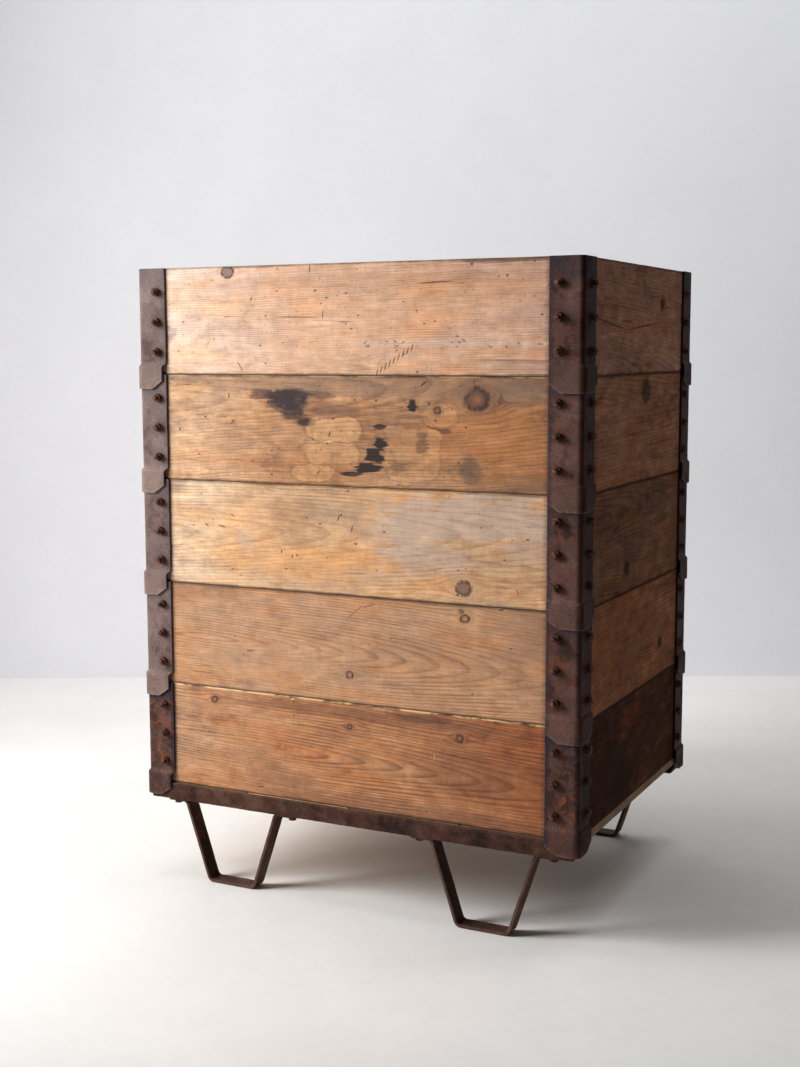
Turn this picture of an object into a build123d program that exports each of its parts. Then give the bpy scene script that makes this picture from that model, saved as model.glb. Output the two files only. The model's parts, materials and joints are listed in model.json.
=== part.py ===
"""Stacking crate: five bolted timber collars standing on a steel-railed base with four strap legs.

Millimetres, +Z up. The origin is on the floor under the middle of the crate, the wide front
faces -Y. Each collar is a bottomless frame of four boards. Its corner angles are joggled outward
at the bottom, so that they reach down around the collar, or the base, that it stands on.
"""
import os

from build123d import *

# Driving dimensions
WIDTH = 685.3              # over the corner angles, along X
DEPTH = 500.8              # over the corner angles, along Y
TIERS = 5
BOARD_HEIGHT = 152.4       # one collar
BOARD_THICKNESS = 22.0
BOARD_CORNER_EASE = 0.6    # board's corner rounded more than the inside of the bend
BASE_TOP = 149.0           # floor to the top of the base boards, where the first collar stands

# Corner angles, bent from sheet
PLATE = 2.6                # sheet thickness
FLANGE = 47.0              # flange width, from the outer corner
BEND_RADIUS = 7.0          # outside radius of the corner bend
LIP_DROP = 21.5            # how far the lip reaches below its own collar
LIP_TOP = 11.0             # top of the lip's upright part, above the collar's bottom edge
JOGGLE_TOP = 16.0          # where the joggle starts, above the collar's bottom edge
LIP_CLEARANCE = 0.6        # between the lip and the plate it reaches around
LIP_SETBACK = {"left": 6.0, "right": 1.0}    # how much narrower the lip is than the flange
LIP_CORNER_WIDE = 17.0     # clipped lower corner of the lip
LIP_CORNER_HIGH = 12.0

# Quarter-inch bolts
BOLT_RADIUS = 3.175
BOLT_HOLE_RADIUS = 3.55
BOLT_HEIGHTS = (32.4, 75.4, 118.4)           # above the collar's bottom edge
BOLT_INSET = 33.0          # from the outer corner to the bolt's axis
BOLT_PROUD = 12.0          # bolt end beyond the plate at the front and back
SIDE_BOLT_PROUD = 6.4      # and at the sides, where it ends just beyond its nut
BOLT_END_CHAMFER = 0.8
HEAD_RADIUS = 7.5
HEAD_HEIGHT = 3.7
NECK = 6.35                # square neck under a carriage bolt's head
NECK_DEPTH = 4.0
NECK_CLEARANCE = 0.1
NUT_ACROSS_FLATS = 11.1
NUT_THICKNESS = 5.6
NUT_BORE_CLEARANCE = 0.05

# Base
RAIL_THICKNESS = 3.2
RAIL_HEIGHT = 25.4         # upright flange
RAIL_WIDTH = 44.5          # flat flange
RAIL_HALF_LENGTH = 336.0
RAIL_TOP_GAP = 1.0         # rail's top edge below the base boards' top
BASE_BOARD_THICKNESS = 12.7
BASE_BOARDS = 4
BASE_BOARD_GAP = 0.8
BASE_BOARD_END_GAP = 0.7   # between a base board's end and the rail
BEARER_WIDTH = 40.0
BEARER_HALF_LENGTH = 325.0

# Legs, bent from flat bar
LEG_THICKNESS = 4.8
LEG_BAR = 25.4             # bar width, along Y
LEG_CENTRE_X = 203.0
LEG_INSET = 7.5            # leg's outer edge behind the rail's face
FOOT_HALF = 40.0           # half width over the foot, at the floor
SHOULDER_HALF = 80.5       # half width over the leg, where it meets the rail
EAR_HALF = 108.0           # from the leg's middle to the end of its ear
EAR_BOLT = 100.0           # from the leg's middle to the ear's bolt
LEG_BEND_RADIUS = 9.0      # at the bar's middle
LEG_BOLT_PROUD = 6.2       # bolt end below the ear
COUNTERSINK_RADIUS = 6.4
COUNTERSINK_DEPTH = COUNTERSINK_RADIUS - BOLT_RADIUS

# Worked out from the above
HALF_X = WIDTH / 2
HALF_Y = DEPTH / 2
FACE_X = HALF_X - PLATE                      # outer faces of the boards
FACE_Y = HALF_Y - PLATE
BOARD_CORNER_RADIUS = BEND_RADIUS - PLATE + BOARD_CORNER_EASE
LIP_OFFSET = PLATE + LIP_CLEARANCE
RAIL_TOP = BASE_TOP - RAIL_TOP_GAP
RAIL_BOTTOM = RAIL_TOP - RAIL_HEIGHT
BOARD_BOTTOM = BASE_TOP - BASE_BOARD_THICKNESS
LEG_Y = HALF_Y - LEG_INSET - LEG_BAR / 2
EAR_BOTTOM = RAIL_BOTTOM - LEG_THICKNESS

CORNERS = {                                  # side of X, side of Y, turn from the +X +Y corner
    "front_left": (-1, -1, 180),
    "front_right": (1, -1, 270),
    "back_left": (-1, 1, 90),
    "back_right": (1, 1, 0),
}


def save(shape, name):
    export_step(shape, f"parts/{name}.step")


def group(solids):
    return Compound(children=list(solids))


def cylinder_along(axis_plane, radius, height):
    """A cylinder that starts at the plane's origin and runs along its normal."""
    return axis_plane * Cylinder(radius, height, align=(Align.CENTER, Align.CENTER, Align.MIN))


def carriage_bolt(length):
    """Domed bolt: the head's underside is at z = 0 and the shank runs up to z = length."""
    dome_radius = (HEAD_RADIUS ** 2 + HEAD_HEIGHT ** 2) / (2 * HEAD_HEIGHT)
    ball = Pos(0, 0, dome_radius - HEAD_HEIGHT) * Sphere(dome_radius)
    below_zero = Box(3 * HEAD_RADIUS, 3 * HEAD_RADIUS, HEAD_HEIGHT,
                     align=(Align.CENTER, Align.CENTER, Align.MAX))
    neck = Box(NECK, NECK, NECK_DEPTH, align=(Align.CENTER, Align.CENTER, Align.MIN))
    return (ball & below_zero) + neck + plain_shank(length)


def plain_shank(length):
    shank = cylinder_along(Plane.XY, BOLT_RADIUS, length)
    return chamfer(shank.edges().sort_by(Axis.Z)[-1], BOLT_END_CHAMFER)


def countersunk_bolt(length):
    """Flat-headed bolt: the head's face is at z = 0 and the shank runs up to z = length."""
    head = Cone(COUNTERSINK_RADIUS, BOLT_RADIUS, COUNTERSINK_DEPTH,
                align=(Align.CENTER, Align.CENTER, Align.MIN))
    return head + plain_shank(length)


def hexagon_nut():
    """Nut with its bearing face at z = 0, its outer corners rounded off by a chamfer."""
    blank = extrude(RegularPolygon(NUT_ACROSS_FLATS / 2, 6, major_radius=False), NUT_THICKNESS)
    corner_radius = NUT_ACROSS_FLATS / 3 ** 0.5
    turned = cylinder_along(Plane.XY, corner_radius, NUT_THICKNESS)
    turned = chamfer(turned.edges().sort_by(Axis.Z)[-1], corner_radius - NUT_ACROSS_FLATS / 2)
    bore = cylinder_along(Plane.XY, BOLT_RADIUS + NUT_BORE_CLEARANCE, NUT_THICKNESS)
    return (blank & turned) - bore


def bolt_length(plane):
    """From the board's inner face to the bolt's end, for a bolt along the plane's normal."""
    through_side = abs(plane.z_dir.X) > 0.5
    return BOARD_THICKNESS + PLATE + (SIDE_BOLT_PROUD if through_side else BOLT_PROUD)


def collar_bolt_planes():
    """A plane for every bolt of a collar: origin on the board's inner face, normal outward."""
    for side_x, side_y, _ in CORNERS.values():
        for height in BOLT_HEIGHTS:
            on_front_or_back = (side_x * (HALF_X - BOLT_INSET), side_y * (FACE_Y - BOARD_THICKNESS), height)
            on_side = (side_x * (FACE_X - BOARD_THICKNESS), side_y * (HALF_Y - BOLT_INSET), height)
            yield Plane(origin=on_front_or_back, x_dir=(1, 0, 0), z_dir=(0, side_y, 0))
            yield Plane(origin=on_side, x_dir=(0, 1, 0), z_dir=(side_x, 0, 0))


def bolt_cutter(plane, length):
    """Round hole with a square pocket for the neck, cut from the plane outward."""
    pocket_side = NECK + 2 * NECK_CLEARANCE
    pocket = plane * Box(pocket_side, pocket_side, NECK_DEPTH + NECK_CLEARANCE,
                         align=(Align.CENTER, Align.CENTER, Align.MIN))
    return cylinder_along(plane, BOLT_HOLE_RADIUS, length) + pocket


def collar_boards():
    """Front and back boards run the full width, and the side boards butt between them."""
    cutters = [bolt_cutter(plane, BOARD_THICKNESS) for plane in collar_bolt_planes()]
    upright = (Align.CENTER, Align.CENTER, Align.MIN)
    boards = {}
    for name, side in (("front_board", -1), ("back_board", 1)):
        board = Pos(0, side * (FACE_Y - BOARD_THICKNESS / 2), 0) * Box(
            2 * FACE_X, BOARD_THICKNESS, BOARD_HEIGHT, align=upright)
        outer_corners = board.edges().filter_by(Axis.Z).sort_by(Axis.Y)
        outer_corners = outer_corners[:2] if side < 0 else outer_corners[-2:]
        board = fillet(outer_corners, BOARD_CORNER_RADIUS)
        boards[name] = board - cutters_within(cutters, board)
    for name, side in (("left_board", -1), ("right_board", 1)):
        board = Pos(side * (FACE_X - BOARD_THICKNESS / 2), 0, 0) * Box(
            BOARD_THICKNESS, 2 * (FACE_Y - BOARD_THICKNESS), BOARD_HEIGHT, align=upright)
        boards[name] = board - cutters_within(cutters, board)
    return boards


def cutters_within(cutters, board):
    """The bolt holes whose middle lies in this board."""
    room = board.bounding_box()
    return [cutter for cutter in cutters if is_between(cutter.bounding_box().center(), room)]


def is_between(point, room):
    return (room.min.X < point.X < room.max.X and room.min.Y < point.Y < room.max.Y
            and room.min.Z < point.Z < room.max.Z)


def angle_section(flange, offset, height):
    """L-section of a corner angle, bent round the +X +Y corner, moved outward by offset."""
    outer = offset
    inner = offset - PLATE
    bend = -BEND_RADIUS
    outline = [
        Line((-flange, outer), (bend, outer)),
        CenterArc((bend, bend), outer - bend, 90, -90),
        Line((outer, bend), (outer, -flange)),
        Line((outer, -flange), (inner, -flange)),
        Line((inner, -flange), (inner, bend)),
        CenterArc((bend, bend), inner - bend, 0, 90),
        Line((bend, inner), (-flange, inner)),
        Line((-flange, inner), (-flange, outer)),
    ]
    return Pos(0, 0, height) * make_face(Wire(outline))


def corner_angle(lip_setback):
    """Corner angle for the +X +Y corner, with its outer corner on the Z axis."""
    lip_flange = FLANGE - lip_setback
    upright = extrude(angle_section(FLANGE, 0, JOGGLE_TOP), BOARD_HEIGHT - JOGGLE_TOP)
    joggle = loft([angle_section(FLANGE, 0, JOGGLE_TOP), angle_section(lip_flange, LIP_OFFSET, LIP_TOP)],
                  ruled=True)
    lip = extrude(angle_section(lip_flange, LIP_OFFSET, LIP_TOP), LIP_TOP + LIP_DROP, dir=(0, 0, -1))
    clip = make_face(Polyline((-lip_flange, -LIP_DROP), (-lip_flange + LIP_CORNER_WIDE, -LIP_DROP),
                              (-lip_flange, -LIP_DROP + LIP_CORNER_HIGH), close=True))
    clip = Plane.XZ.offset(-2 * PLATE) * clip
    clip = extrude(clip, 4 * PLATE)
    diagonal = Plane(origin=(0, 0, 0), z_dir=(1, -1, 0))
    angle = upright + joggle + lip - clip - mirror(clip, about=diagonal)
    for height in BOLT_HEIGHTS:
        through_y = Plane(origin=(-BOLT_INSET, -2 * PLATE, height), z_dir=(0, 1, 0))
        through_x = Plane(origin=(-2 * PLATE, -BOLT_INSET, height), z_dir=(1, 0, 0))
        angle -= cylinder_along(through_y, BOLT_HOLE_RADIUS, 4 * PLATE)
        angle -= cylinder_along(through_x, BOLT_HOLE_RADIUS, 4 * PLATE)
    return angle


def save_collar(number, boards, angles, bolts, nuts):
    lift = Pos(0, 0, BASE_TOP + (number - 1) * BOARD_HEIGHT)
    for name, shape in {**boards, **angles, "bolts": bolts, "nuts": nuts}.items():
        save(lift * shape, f"collar_{number}_{name}")


def save_collars():
    boards = collar_boards()
    angles = {}
    for name, (side_x, side_y, turn) in CORNERS.items():
        side = "left" if side_x < 0 else "right"
        angle = corner_angle(LIP_SETBACK[side])
        angles[f"{name}_angle"] = Pos(side_x * HALF_X, side_y * HALF_Y, 0) * Rot(0, 0, turn) * angle
    nut = Pos(0, 0, BOARD_THICKNESS + PLATE) * hexagon_nut()
    planes = list(collar_bolt_planes())
    bolts = group(plane * carriage_bolt(bolt_length(plane)) for plane in planes)
    nuts = group(plane * nut for plane in planes)
    for number in range(1, TIERS + 1):
        save_collar(number, boards, angles, bolts, nuts)


def leg_bolt_places():
    for side_y in (-1, 1):
        for side_x in (-1, 1):
            for ear in (-1, 1):
                yield side_x * LEG_CENTRE_X + ear * EAR_BOLT, side_y * LEG_Y


def drilled(shape):
    """The shape with the leg bolts' clearance holes."""
    for x, y in leg_bolt_places():
        shape -= Pos(x, y, BASE_TOP / 2) * Cylinder(BOLT_HOLE_RADIUS, BASE_TOP)
    return shape


def rail(side_y):
    """Steel angle along the foot of the crate: one flange upright outside, one flat underneath."""
    upright = Box(2 * RAIL_HALF_LENGTH, RAIL_THICKNESS, RAIL_HEIGHT,
                  align=(Align.CENTER, Align.MAX, Align.MIN))
    flat = Box(2 * RAIL_HALF_LENGTH, RAIL_WIDTH, RAIL_THICKNESS,
               align=(Align.CENTER, Align.MAX, Align.MIN))
    angle = Pos(0, HALF_Y, RAIL_BOTTOM) * (upright + flat)
    if side_y < 0:
        angle = mirror(angle, about=Plane.XZ)
    return drilled(angle)


def bearer(side_y):
    """Packing strip between a rail's flat flange and the base boards."""
    height = BOARD_BOTTOM - RAIL_BOTTOM - RAIL_THICKNESS
    middle = side_y * (HALF_Y - RAIL_THICKNESS - BASE_BOARD_END_GAP - BEARER_WIDTH / 2)
    strip = Pos(0, middle, BOARD_BOTTOM) * Box(2 * BEARER_HALF_LENGTH, BEARER_WIDTH, height,
                                               align=(Align.CENTER, Align.CENTER, Align.MAX))
    return drilled(strip)


def base_boards():
    """Boards that run from the front rail to the back rail and close the crate's bottom."""
    length = 2 * (HALF_Y - RAIL_THICKNESS - BASE_BOARD_END_GAP)
    width = (2 * FACE_X - (BASE_BOARDS - 1) * BASE_BOARD_GAP) / BASE_BOARDS
    sink = Cone(BOLT_HOLE_RADIUS, COUNTERSINK_RADIUS + BOLT_HOLE_RADIUS - BOLT_RADIUS, COUNTERSINK_DEPTH,
                align=(Align.CENTER, Align.CENTER, Align.MAX))
    boards = []
    for index in range(BASE_BOARDS):
        middle = -FACE_X + width / 2 + index * (width + BASE_BOARD_GAP)
        board = Pos(middle, 0, BASE_TOP) * Box(width, length, BASE_BOARD_THICKNESS,
                                               align=(Align.CENTER, Align.CENTER, Align.MAX))
        board = drilled(board)
        for x, y in leg_bolt_places():
            board -= Pos(x, y, BASE_TOP) * sink
        boards.append(board)
    return group(boards)


def leg(side_x, side_y):
    """Flat bar bent into a foot, two sloping sides and two ears that bolt up to the rail."""
    half = LEG_THICKNESS / 2
    slope = (SHOULDER_HALF - FOOT_HALF) / RAIL_BOTTOM
    sideways = half * (1 + slope ** 2) ** 0.5     # outer face to middle, measured level
    foot_x = FOOT_HALF + slope * half - sideways
    shoulder_x = FOOT_HALF + slope * (RAIL_BOTTOM - half) - sideways
    ear_z = RAIL_BOTTOM - half
    route = [(-EAR_HALF, 0, ear_z), (-shoulder_x, 0, ear_z), (-foot_x, 0, half),
             (foot_x, 0, half), (shoulder_x, 0, ear_z), (EAR_HALF, 0, ear_z)]
    path = FilletPolyline(*route, radius=LEG_BEND_RADIUS)
    end = Plane(origin=route[0], x_dir=(0, 1, 0), z_dir=(1, 0, 0))
    bar = sweep(end * Rectangle(LEG_BAR, LEG_THICKNESS), path=path)
    return drilled(Pos(side_x * LEG_CENTRE_X, side_y * LEG_Y, 0) * bar)


def save_base():
    save(rail(-1), "front_rail")
    save(rail(1), "back_rail")
    save(group([bearer(-1), bearer(1)]), "bearers")
    save(base_boards(), "base_boards")
    for name, (side_x, side_y, _) in CORNERS.items():
        save(leg(side_x, side_y), f"{name}_leg")
    down = [Plane(origin=(x, y, BASE_TOP), z_dir=(0, 0, -1)) for x, y in leg_bolt_places()]
    bolt = countersunk_bolt(BASE_TOP - EAR_BOTTOM + LEG_BOLT_PROUD)
    nut = Pos(0, 0, BASE_TOP - EAR_BOTTOM) * hexagon_nut()
    save(group(plane * bolt for plane in down), "leg_bolts")
    save(group(plane * nut for plane in down), "leg_nuts")


os.makedirs("parts", exist_ok=True)
save_collars()
save_base()
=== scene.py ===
"""Looks for the stacking timber crate: worn boards, rusty joggled corner angles and strap legs.

Metres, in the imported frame: +Z up, the wide front faces -Y, collar_1 is the lowest of the five.
"""

import inspect
import itertools
import json
import math
import random

import bpy
import numpy as np
from mathutils import Matrix, Vector

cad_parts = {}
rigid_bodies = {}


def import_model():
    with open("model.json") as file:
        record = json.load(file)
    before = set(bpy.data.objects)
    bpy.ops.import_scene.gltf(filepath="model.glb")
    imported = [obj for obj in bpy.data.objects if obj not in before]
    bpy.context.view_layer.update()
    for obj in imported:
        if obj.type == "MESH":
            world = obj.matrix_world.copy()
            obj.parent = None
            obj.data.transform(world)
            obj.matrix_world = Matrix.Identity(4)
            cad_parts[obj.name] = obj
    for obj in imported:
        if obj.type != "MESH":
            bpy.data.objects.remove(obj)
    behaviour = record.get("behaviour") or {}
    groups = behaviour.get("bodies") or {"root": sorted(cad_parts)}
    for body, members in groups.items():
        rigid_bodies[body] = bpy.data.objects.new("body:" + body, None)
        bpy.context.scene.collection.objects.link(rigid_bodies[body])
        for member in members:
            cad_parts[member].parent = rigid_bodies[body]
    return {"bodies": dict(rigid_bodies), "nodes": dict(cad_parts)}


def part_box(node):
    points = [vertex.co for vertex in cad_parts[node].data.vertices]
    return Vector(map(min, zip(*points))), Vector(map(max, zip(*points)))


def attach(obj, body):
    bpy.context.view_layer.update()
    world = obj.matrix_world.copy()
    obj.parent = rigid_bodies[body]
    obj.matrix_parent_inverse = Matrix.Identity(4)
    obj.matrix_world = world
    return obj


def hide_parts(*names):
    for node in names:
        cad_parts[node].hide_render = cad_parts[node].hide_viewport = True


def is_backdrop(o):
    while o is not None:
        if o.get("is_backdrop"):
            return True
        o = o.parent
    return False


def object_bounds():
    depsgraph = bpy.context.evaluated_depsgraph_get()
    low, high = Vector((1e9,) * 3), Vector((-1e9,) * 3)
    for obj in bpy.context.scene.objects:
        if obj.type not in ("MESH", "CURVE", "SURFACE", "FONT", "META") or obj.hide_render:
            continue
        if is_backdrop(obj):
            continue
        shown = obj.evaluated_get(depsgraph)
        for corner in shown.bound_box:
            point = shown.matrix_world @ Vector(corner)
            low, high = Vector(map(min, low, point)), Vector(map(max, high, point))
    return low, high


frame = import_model()
cad_low, cad_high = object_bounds()
COLLARS = [name for name in frame["bodies"] if name.startswith("collar_")]
CORNERS = {"front_left": (-1, -1), "front_right": (1, -1), "back_left": (-1, 1), "back_right": (1, 1)}
MM = 0.001

# Sheet and bar details that the frame's boxes don't give
FLANGE = 47 * MM
BEND_RADIUS = 7 * MM
LIP_TOP = 11 * MM
JOGGLE_TOP = 16 * MM
LIP_CLIP = (17 * MM, 12 * MM)
LIP_SETBACK = {-1: 6 * MM, 1: 1 * MM}
JOGGLE_MARGIN = 1.5 * MM
DENT_SIZE = 16 * MM
NUT_FLATS = 11.1 * MM
NUT_HEIGHT = 5.6 * MM
BOLT_RADIUS = 3.15 * MM
THREAD_PITCH = 1.27 * MM
THREAD_DEPTH = 0.35 * MM
HEAD_RADIUS = 7.5 * MM
HEAD_HEIGHT = 3.7 * MM
LEG_BOLT_THREAD = 8 * MM
RAIL_THICK = 3.2 * MM
BAR_THICK = 4.8 * MM
LEG_BEND = 9 * MM
LEG_FOOT_HALF = 40 * MM
LEG_SHOULDER_HALF = 80.5 * MM
BEARER_WIDE = 40 * MM
BASE_BOARDS = 4
BASE_GAP = 0.8 * MM
BOARD_END_ROUND = 5 * MM

# Edges sharper than these angles, in degrees, stay crisp
CRISP_FASTENER = 35
CRISP_RAIL = 50
CRISP_LEG = 60


# ---------------------------------------------------------------- numbers and meshes

def smoothstep(low, high, x):
    t = np.clip((x - low) / (high - low), 0, 1)
    return t * t * (3 - 2 * t)


def value_noise(points, size, seed):
    """Smooth noise from -1 to 1 at each point, with features about size metres across."""
    cell, part = np.divmod(np.asarray(points, float) / size + 57.3, 1.0)
    cell = cell.astype(np.int64)
    part = part * part * (3 - 2 * part)
    total = np.zeros(len(part))
    for corner in itertools.product((0, 1), repeat=3):
        c = cell + corner
        h = (c[:, 0] * 73856093) ^ (c[:, 1] * 19349663) ^ (c[:, 2] * 83492791) ^ (seed * 668265263)
        h = ((h ^ (h >> 13)) * 1274126177) & 0xFFFFFFFF
        h = ((h ^ (h >> 15)) * 2246822519) & 0xFFFFFFFF
        weight = np.prod(np.where(corner, part, 1 - part), axis=1)
        total += weight * (h / 0x7FFFFFFF - 1)
    return total


def piece(name, points, faces, attributes, material, body, slot, replaces):
    """A mesh object that rides on a body and stands for CAD nodes."""
    mesh = bpy.data.meshes.new(name)
    mesh.from_pydata([tuple(p) for p in points], [], [tuple(int(i) for i in f) for f in faces])
    mesh.validate()
    mesh.update()
    for key, values in attributes.items():
        values = np.asarray(values, np.float32)
        kind = "FLOAT" if values.ndim == 1 else "FLOAT_VECTOR"
        field = "value" if values.ndim == 1 else "vector"
        mesh.attributes.new(key, kind, "POINT").data.foreach_set(field, values.ravel())
    mesh.polygons.foreach_set("use_smooth", [True] * len(mesh.polygons))
    mesh.materials.append(material)
    obj = bpy.data.objects.new(name, mesh)
    bpy.context.scene.collection.objects.link(obj)
    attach(obj, body)
    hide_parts(*replaces)
    return obj


def joined(parts):
    """Several (points, faces, attributes) as one, with the faces renumbered."""
    points, faces, attributes, start = [], [], {}, 0
    for part_points, part_faces, part_attributes in parts:
        points.append(np.asarray(part_points))
        faces += [[i + start for i in face] for face in part_faces]
        start += len(part_points)
        for key, values in part_attributes.items():
            attributes.setdefault(key, []).append(np.asarray(values))
    return np.concatenate(points), faces, {k: np.concatenate(v) for k, v in attributes.items()}


def box_lattice(grids):
    """Surface points, as whole-number triples, and quads of a box divided at the three grids."""
    counts = [len(g) for g in grids]
    triples, quads, start = [], [], 0
    for axis in range(3):
        a, b = [i for i in range(3) if i != axis]
        for end in (0, 1):
            i, j = np.meshgrid(np.arange(counts[a]), np.arange(counts[b]), indexing="ij")
            side = np.zeros((i.size, 3), int)
            side[:, a], side[:, b] = i.ravel(), j.ravel()
            side[:, axis] = end * (counts[axis] - 1)
            index = np.arange(i.size).reshape(i.shape) + start
            quad = np.stack([index[:-1, :-1], index[1:, :-1], index[1:, 1:], index[:-1, 1:]], -1)
            quad = quad.reshape(-1, 4)
            outward = (end == 1) == (axis != 1)
            quads.append(quad if outward else quad[:, ::-1])
            triples.append(side)
            start += i.size
    unique, inverse = np.unique(np.concatenate(triples), axis=0, return_inverse=True)
    return unique, inverse.ravel()[np.concatenate(quads)]


def graded(length, step, rim):
    """Grid from 0 to length: fine near both ends, then about one step apart."""
    fine = np.array([0, 0.12, 0.3, 0.55, 1.0]) * rim
    count = max(1, round((length - 2 * rim) / step))
    middle = np.linspace(rim, length - rim, count + 1)[1:-1]
    return np.concatenate([fine, middle, length - fine[::-1]])


def loop_quads(rows):
    """Point numbers of equal closed loops, row by row, and the quads between the rows."""
    count, around = rows.shape[:2]
    index = np.arange(count * around).reshape(count, around)
    right = np.roll(index, -1, axis=1)
    return index, np.stack([index[:-1], right[:-1], right[1:], index[1:]], -1).reshape(-1, 4).tolist()


def loop_skin(rows):
    """Closed skin through equal loops of points: quads between rows, and a fan at each end."""
    rows = np.asarray(rows)
    index, faces = loop_quads(rows)
    points = np.concatenate([rows.reshape(-1, 3), rows[0].mean(0)[None], rows[-1].mean(0)[None]])
    faces += [[index.size, b, a] for a, b in zip(index[0], np.roll(index[0], -1))]
    faces += [[index.size + 1, a, b] for a, b in zip(index[-1], np.roll(index[-1], -1))]
    return points, faces


# ---------------------------------------------------------------- boards

def worn_board(low, high, along, outside, seed, corner=0.0, wear=1.0):
    """One board as a divided box with worn edges and dents, kept inside low..high.

    along is the axis of its length. outside is (axis, sign) of its outer face. The attribute board
    holds each point's place in the board: along its length from the middle, up its width from the
    bottom or the left, and in from the outer face.
    """
    low, high = np.array(low), np.array(high)
    size = high - low
    depth = outside[0]
    across = 3 - along - depth
    grids = [None] * 3
    grids[along] = graded(size[along], 5.5 * MM, 5 * MM)
    grids[across] = graded(size[across], 4.5 * MM, 4 * MM)
    grids[depth] = graded(size[depth], 6 * MM, min(4 * MM, size[depth] / 3))
    triples, quads = box_lattice(grids)
    flat = np.stack([grids[a][triples[:, a]] for a in range(3)], 1) + low

    middle = (low + high) / 2
    board = np.zeros_like(flat)
    board[:, 0] = flat[:, along] - middle[along]
    board[:, 1] = flat[:, across] - low[across]
    outer = high[depth] if outside[1] > 0 else low[depth]
    board[:, 2] = np.abs(flat[:, depth] - outer)

    stretched = board / np.array([3.0, 1.0, 1.0])
    radius = 1.1 * MM + 0.6 * MM * value_noise(stretched, 18 * MM, seed)
    chips = smoothstep(0.45, 0.95, value_noise(stretched, 13 * MM, seed + 1))
    radius += wear * 2.2 * MM * chips + 0.3 * MM
    if corner:
        end = smoothstep(size[along] / 2 - 2.2 * corner, size[along] / 2 - corner, np.abs(board[:, 0]))
        radius = radius + (corner - radius) * end * smoothstep(2 * corner, corner, board[:, 2])
    radius = np.minimum(radius, size[depth] / 2.5)[:, None]
    inner = np.clip(flat, low + radius, high - radius)
    away = flat - inner
    length = np.linalg.norm(away, axis=1, keepdims=True)
    points = inner + away * np.minimum(1, radius / np.maximum(length, 1e-9))

    sunk = 0.25 * MM * (1 + value_noise(stretched, 60 * MM, seed + 2)) / 2
    sunk += 0.12 * MM * (1 + value_noise(board / [6.0, 1, 1], 9 * MM, seed + 3)) / 2
    dent = value_noise(board, 22 * MM, seed + 4)
    sunk += wear * 0.8 * MM * smoothstep(0.62, 0.95, dent)
    normal = away / np.maximum(length, 1e-9)
    points -= normal * sunk[:, None]
    return points, quads.tolist(), {"board": board}


def board_piece(node, body, along, outside, material, seed):
    corner = BOARD_END_ROUND if along == 0 else 0.0
    parts = worn_board(*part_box(node), along, outside, seed, corner)
    piece(f"{node}_worn", *parts, material, body, "collar_wood", [node])


# ---------------------------------------------------------------- corner angles

def sheet_noise(size, seed, *coordinates):
    """value_noise over arrays of coordinates, in their common shape."""
    grids = np.broadcast_arrays(*coordinates)
    points = np.stack([g.ravel() for g in grids], 1)
    return value_noise(points, size, seed).reshape(grids[0].shape)


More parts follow.
